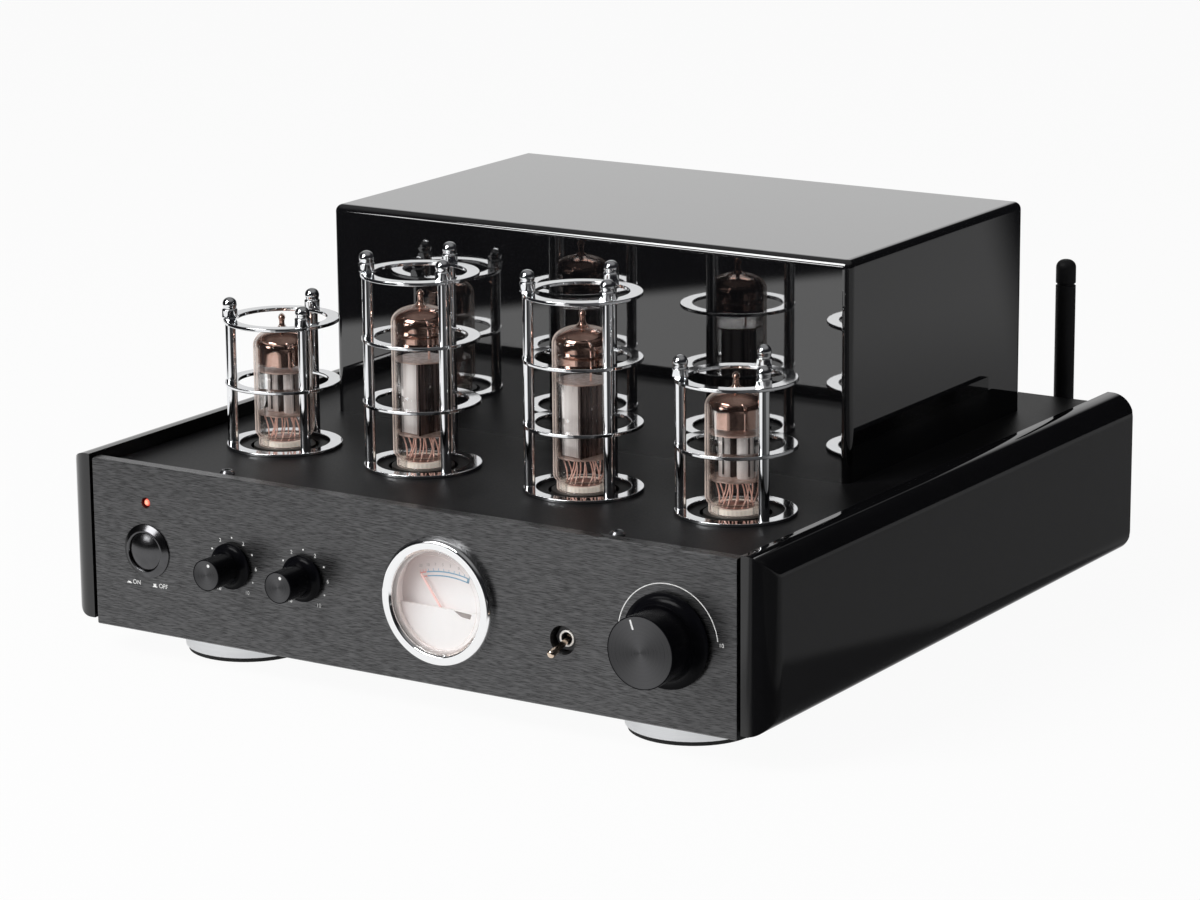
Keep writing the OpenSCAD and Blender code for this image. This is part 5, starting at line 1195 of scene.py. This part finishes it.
@dataclass
class Meter(Assembly):
    """Chrome bezel, lens, dial with its scale, and the needle."""

    x: float = 17.0
    bezel_r: float = 23.05
    bore_r: float = 18.6
    mask_depth: float = 1.6
    out: float = 3.6
    dial_depth: float = 5.0
    seat_r: float = 21.7
    scale_drop: float = 29.0
    scale_r: tuple = (38.0, 36.5)
    scale_w: float = 0.42
    tick_r: tuple = (38.3, 39.3)
    tick_w: float = 0.3
    blue_span: tuple = (-13.2, 14.4)
    blue_end: tuple = (36.5, 38.36, 13.0)
    red_span: tuple = (-17.5, -13.4)
    figure_r: float = 40.7
    figure_size: float = 1.1
    figures: tuple = (("20", -16.0), ("10", -11.5), ("7", -7.0), ("5", -2.5), ("3", 2.0), ("0", 7.0),
                      ("3", 12.0))

    def build(self) -> None:
        """Dresses the solids and builds bezel, liner and scale."""
        self.dress(METER_BLACK, "meter_case")
        self.dress(LENS_CLEAR, "meter_lens")
        self.dress(DIAL_WHITE_PAINTED_SHADE, "meter_dial")
        self.dress(NEEDLE_RED, "meter_needle")
        self.dress(MAGNET_GREY, "meter_movement")
        r, b, out, seat = self.bezel_r, self.bore_r, self.out, self.seat_r
        section = [(seat, 0), (r, 0), (r, out - 1.3), (r - 0.8, out), (b + 0.9, out), (b, out - 1.1),
                   (b, out - 1.3), (seat, out - 1.3)]
        profile = rounded(section, [0.1, 0.1, 0.6, 0.7, 0.35, 0.08, 0.08, 0.1], closed=True)
        self.add("meter_ring", [turned(profile, (self.x, FRONT_Y, CONTROL_Z), Axis.FRONT, 144, closed=True)],
                 BEZEL_CHROME, stands_for=["meter_bezel"])
        self.liner()
        self.scale()

    def liner(self) -> None:
        """The pale sleeve between lens and dial, the lens's rounded rim and the notch in the mask."""
        origin = (self.x, FRONT_Y, CONTROL_Z)
        b, depth = self.bore_r, self.dial_depth
        sleeve = rounded([(b + 0.9, 0.8), (b - 0.9, 0.6), (b + 0.6, -depth + 0.1)], [0, 0.5, 0])
        self.add("meter_sleeve", [turned(sleeve, origin, Axis.FRONT, 128)], LINER_PINK, solid=False)
        rim = rounded([(b + 0.3, 2.38), (b - 0.1, 2.38), (b - 0.1, 3.0), (b - 1.0, 3.05), (b - 1.5, 2.38)],
                      [0.1, 0.1, 0.25, 0.3, 0.1], closed=True)
        self.add("meter_lens_rim", [turned(rim, origin, Axis.FRONT, 128, closed=True)], LENS_CLEAR)
        corners = np.array([[(4.8, -3.1), (8.0, -5.0)], [(12.4, -3.6), (11.8, -5.4)]])
        y = np.full((2, 2, 1), FRONT_Y + self.mask_depth - PRINT_GAP)
        flat = corners + np.array([self.x, CONTROL_Z])
        notch = Surface(np.concatenate([flat[..., :1], y, flat[..., 1:]], -1)[::-1], wrap_columns=False)
        self.add("meter_notch", [notch], NOTCH_GREY, solid=False)

    def scale(self) -> None:
        """Two flat arcs with ticks above them, blue over most of their length and red at the left end."""
        y = FRONT_Y + self.dial_depth - PRINT_GAP
        centre, w = (self.x, CONTROL_Z - self.scale_drop), self.scale_w

        def bars(start: float, end: float, ticks: Iterable[float]) -> list[Surface]:
            """Both arcs between two angles, and the ticks at some angles."""
            arcs = [flat_arc(centre, y, r, r + w, start, end) for r in self.scale_r]
            return arcs + [flat_arc(centre, y, *self.tick_r, a, a + self.tick_w, 3) for a in ticks]

        blue = bars(*self.blue_span, np.linspace(-12, 14, 9))
        blue.append(flat_arc(centre, y, *self.blue_end, self.blue_span[1], 6))
        self.add("meter_scale_blue", blue, MARK_BLUE, solid=False)
        red = bars(*self.red_span, (-17.3, -15.4, -13.6))
        self.add("meter_scale_red", red, MARK_RED, solid=False)
        for number, (text, angle) in enumerate(self.figures):
            a, r = math.radians(angle), self.figure_r
            spot = (centre[0] + r * math.sin(a), y, centre[1] + r * math.cos(a))
            self.word("meter_figure_%d" % number, text, spot, self.figure_size, NOTCH_GREY)


@dataclass
class Rear(Assembly):
    """Aerial, line sockets, speaker caps and mains inlet."""

    cap_at: tuple = (("left_plus", -33.5), ("left_minus", -14.5), ("right_plus", 22.5), ("right_minus", 41.5))
    cap_z: float = 34.0
    cap_r: float = 6.2
    low: float = 2.8
    length: float = 13.0
    bore_r: float = 3.25
    flutes: int = 20
    flute_share: float = 0.05
    line_at: tuple = (("left", 71.0, CAP_BLACK), ("right", 89.0, CAP_RED))

    def build(self) -> None:
        """Builds the fluted caps and the rings of the line sockets, and dresses the rest of the back."""
        self.dress(NICKEL, "aerial_socket")
        self.dress(AERIAL_BLACK, "aerial_knuckle", "aerial_whip")
        self.dress(GOLD, "line_sockets", "speaker_posts")
        self.dress(SWITCH_BLACK, "mains_inlet")
        for name, x in self.cap_at:
            self.cap(name, x)
        ring = rounded([(4.4, 1.5), (6.4, 1.5), (6.4, 2.3), (4.4, 2.6)], 0.2, closed=True)
        for side, x, finish in self.line_at:
            band = turned(ring, (x, BACK_Y, self.cap_z), Axis.BACK, 64, closed=True)
            self.add("line_ring_" + side, [band], finish)

    def cap(self, name: str, x: float) -> None:
        """A cap with flutes: the radius swings by 5% twenty times round its middle part."""
        r, b, low, high = self.cap_r, self.bore_r, self.low, self.low + self.length
        corners = [(b, low), (r, low), (r, low + 2.4), (r - 0.5, low + 2.9), (r - 0.5, high - 2),
                   (r - 1.2, high), (b, high)]
        profile = rounded(corners, [0.05, 0.4, 0.3, 0.3, 0.6, 0.5, 0.05], closed=True)
        u = np.linspace(0, 2 * math.pi, 160, endpoint=False)
        deep = ((profile[:, 1] > low + 2.6) & (profile[:, 1] < high - 0.3) & (profile[:, 0] > 4.5))[:, None]
        swell = 1 + deep * self.flute_share * (np.cos(self.flutes * u)[None] - 1) / 2
        finish = CAP_RED if "plus" in name else CAP_BLACK
        cap = turned(profile, (x, BACK_Y, self.cap_z), Axis.BACK, 160, swell, True)
        self.add(name + "_cap_turning", [cap], finish, "cap_" + name, [name + "_cap"])


@dataclass
class Inside(Assembly):
    """What the cover and the case hide."""

    def build(self) -> None:
        """Dresses the hidden solids."""
        self.dress(WINDING, "power_transformer")
        self.dress(BOARD_GREEN, "amp_board")
        self.dress(COMPONENT, "amp_components")


@dataclass
class Studio:
    """Floor, world, lamps and camera."""

    floor_half: float = 9.0
    camera_at: Point = (0.81648, -1.29679, 0.44352)
    azimuth: float = 33.839
    elevation: float = 13.956
    roll: float = -0.781
    focal: float = 4168.02
    middle: tuple = (497.17, 458.47)
    image: tuple = (1200, 900)
    paper: tuple = ((0.86, 0.86, 0.86), (0.9, 0.9, 0.9))
    eye_share: float = 0.945
    mirror_share: float = 0.75
    sheet_facing: tuple = (0.556, 0.83)
    sheet_left: float = -0.57
    sheet_edge: float = 0.015
    shade: float = 0.65
    wall_toward: Point = (-0.54, 0.806, 0.241)
    wall_level: float = 0.72
    ceiling_level: float = 0.2
    room_dark: Colour = (0.015, 0.015, 0.017)
    lamps: tuple = (
        ("key", (-0.6, -1.35, 1.35), (0.0, 0.0, 0.08), (1.0, 0.7), 24.0, True),
        ("strip", (-0.3, -1.6, 0.2), (0.0, -0.1, 0.1), (0.45, 1.3), 4.0, False),
        ("front", (-0.9, -1.57, 0.55), (0.0, 0.0, 0.1), (0.52, 0.28), 3.2, True),
        ("fill", (-1.02, -1.53, 0.56), (0.0, 0.0, 0.1), (0.7, 0.5), 5.3, False),
        ("side", (1.7, 0.1, 0.75), (0.0, 0.0, 0.08), (0.4, 1.2), 4.0, False),
    )

    def build(self) -> None:
        """Sets the stage."""
        bpy.context.scene.view_settings.view_transform = "Standard"
        self.floor()
        self.world()
        for lamp in self.lamps:
            self.lamp(*lamp)
        self.camera()

    def floor(self) -> None:
        """A pale plane: a flat grid, white to the eye and still darkened by the object's shadow."""
        span = np.linspace(-self.floor_half, self.floor_half, 9) / MM
        flat = np.stack([*np.meshgrid(span, span), np.zeros((9, 9))], -1)
        plane = make_mesh("floor", [Surface(flat, wrap_columns=False)], solid=False)
        pale = bpy.data.materials.new("floor_pale")
        graph = Graph(pale)
        colour = graph.mix(graph.noise((3.0, 3.0, 3.0)), *self.paper)
        paper = graph.node("ShaderNodeBsdfDiffuse", {}, {"Color": colour})
        white = graph.node("ShaderNodeEmission", {}, {"Color": (1.0, 1.0, 1.0, 1.0), "Strength": 1.0})
        path = graph.node("ShaderNodeLightPath")
        mirror = path.out("Is Glossy Ray")
        eye = graph.maths("MAXIMUM", path.out("Is Camera Ray"), path.out("Is Transmission Ray"))
        share = graph.maths("MAXIMUM", eye * self.eye_share, mirror * self.mirror_share)
        lit = graph.node("ShaderNodeMixShader", {}, {0: share, 1: paper, 2: white})
        room = graph.node("ShaderNodeBsdfTransparent")
        beyond = mirror * (1.0 - self.sheet(graph))
        both = graph.node("ShaderNodeMixShader", {}, {0: beyond, 1: lit, 2: room})
        graph.node("ShaderNodeOutputMaterial", {}, {"Surface": both})
        plane.data.materials.append(pale)

    def sheet(self, graph: Graph) -> Wire:
        """How much of the floor is lit to a mirror, by the distances along and across the camera's direction.

        The sheet ends at its left edge, has one shaded field in front and is dim on the right, where it gets
        lighter in two steps; its darkest strip next to the case is a painted shadow of the case.

        Args:
            graph: the floor's tree.

        Returns:
            A value from 0 for the dark room to 1 for the lit sheet.
        """
        x, y, _ = graph.split(graph.place())
        side, ahead = self.sheet_facing
        toward, across = x * side - y * ahead, x * ahead + y * side
        # Painted shadow: on the right the sheet is darkest (0.05) next to the case and lighter in two steps
        # further out.
        off = x + y * 0.35
        level = 0.05 + 0.115 * off.step(0.2, 0.215) + 0.09 * off.step(0.4, 0.6)
        level = level * (toward + across * 0.5).step(0.0, 0.03)
        right = 1.0 - x.step(0.12, 0.15) * (1.0 - level)
        field = toward.step(0.2, 0.26) * (across + toward * 0.85).step(0.12, 0.18)
        field = field * (1.0 - across.step(0.33, 0.39)) * self.shade
        edge = across.step(self.sheet_left - self.sheet_edge, self.sheet_left + self.sheet_edge)
        return right * (1.0 - field) * edge

    def world(self) -> None:
        """A room that is white to the eye; mirrors see it dark, with a pale wall behind and a dim ceiling."""
        world = bpy.data.worlds.new("studio")
        bpy.context.scene.world = world
        graph = Graph(world)
        direction = graph.node("ShaderNodeTexCoord").out("Generated")
        sockets = {0: direction, 1: self.wall_toward}
        facing = graph.node("ShaderNodeVectorMath", {"operation": "DOT_PRODUCT"}, sockets).out("Value")
        seen = graph.node("ShaderNodeLightPath").out("Is Camera Ray")
        *_, height = graph.split(direction)
        wall, ceiling = facing.step(0.88, 0.96) * self.wall_level, height.step(0.5, 0.9) * self.ceiling_level
        pale = graph.maths("MAXIMUM", wall + ceiling, seen)
        colour = graph.mix(pale, self.room_dark, (1.0, 1.0, 1.0))
        sky = graph.node("ShaderNodeBackground", {}, {"Color": colour, "Strength": 1.0})
        graph.node("ShaderNodeOutputWorld", {}, {"Surface": sky})

    def lamp(self, name: str, place: Point, aim: Point, size: tuple, power: float, shows: bool) -> None:
        """A soft rectangular lamp aimed at a point, which shows in mirrors or doesn't."""
        data = bpy.data.lights.new(name, "AREA")
        data.shape, data.size, data.size_y, data.energy = "RECTANGLE", size[0], size[1], power
        lamp = bpy.data.objects.new(name, data)
        lamp.location, lamp.visible_glossy = place, shows
        lamp.rotation_euler = (Vector(aim) - Vector(place)).to_track_quat("-Z", "Y").to_euler()
        bpy.context.scene.collection.objects.link(lamp)

    def camera(self) -> None:
        """The photo's camera: its right and up axes turned by the roll, its middle shifted."""
        az, el, roll = (math.radians(v) for v in (self.azimuth, self.elevation, self.roll))
        back = Vector((math.sin(az) * math.cos(el), -math.cos(az) * math.cos(el), math.sin(el)))
        right = Vector((math.cos(az), math.sin(az), 0.0))
        up = back.cross(right)
        across = math.cos(roll) * right + math.sin(roll) * up
        upward = math.cos(roll) * up - math.sin(roll) * right
        data = bpy.data.cameras.new("photo_camera")
        width, height = self.image
        data.lens = self.focal / width * data.sensor_width
        data.shift_x = (width / 2 - self.middle[0]) / width
        data.shift_y = (self.middle[1] - height / 2) / width
        data.clip_start, data.clip_end = 0.05, 60.0
        camera = bpy.data.objects.new("photo_camera", data)
        axes = Matrix((across, upward, back)).transposed().to_4x4()
        camera.matrix_world = Matrix.Translation(Vector(self.camera_at)) @ axes
        bpy.context.scene.collection.objects.link(camera)
        bpy.context.scene.camera = camera


def main() -> None:
    """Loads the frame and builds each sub-assembly."""
    logging.basicConfig(level=logging.INFO, format="%(name)s: %(message)s")
    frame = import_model()
    nodes = frame["nodes"]
    Studio().build()
    for kind in (Case, Tubes, Cages, Controls, Meter, Rear, Inside):
        LOG.info("building %s", kind.__name__)
        kind(nodes).build()


if __name__ == "__main__":
    main()
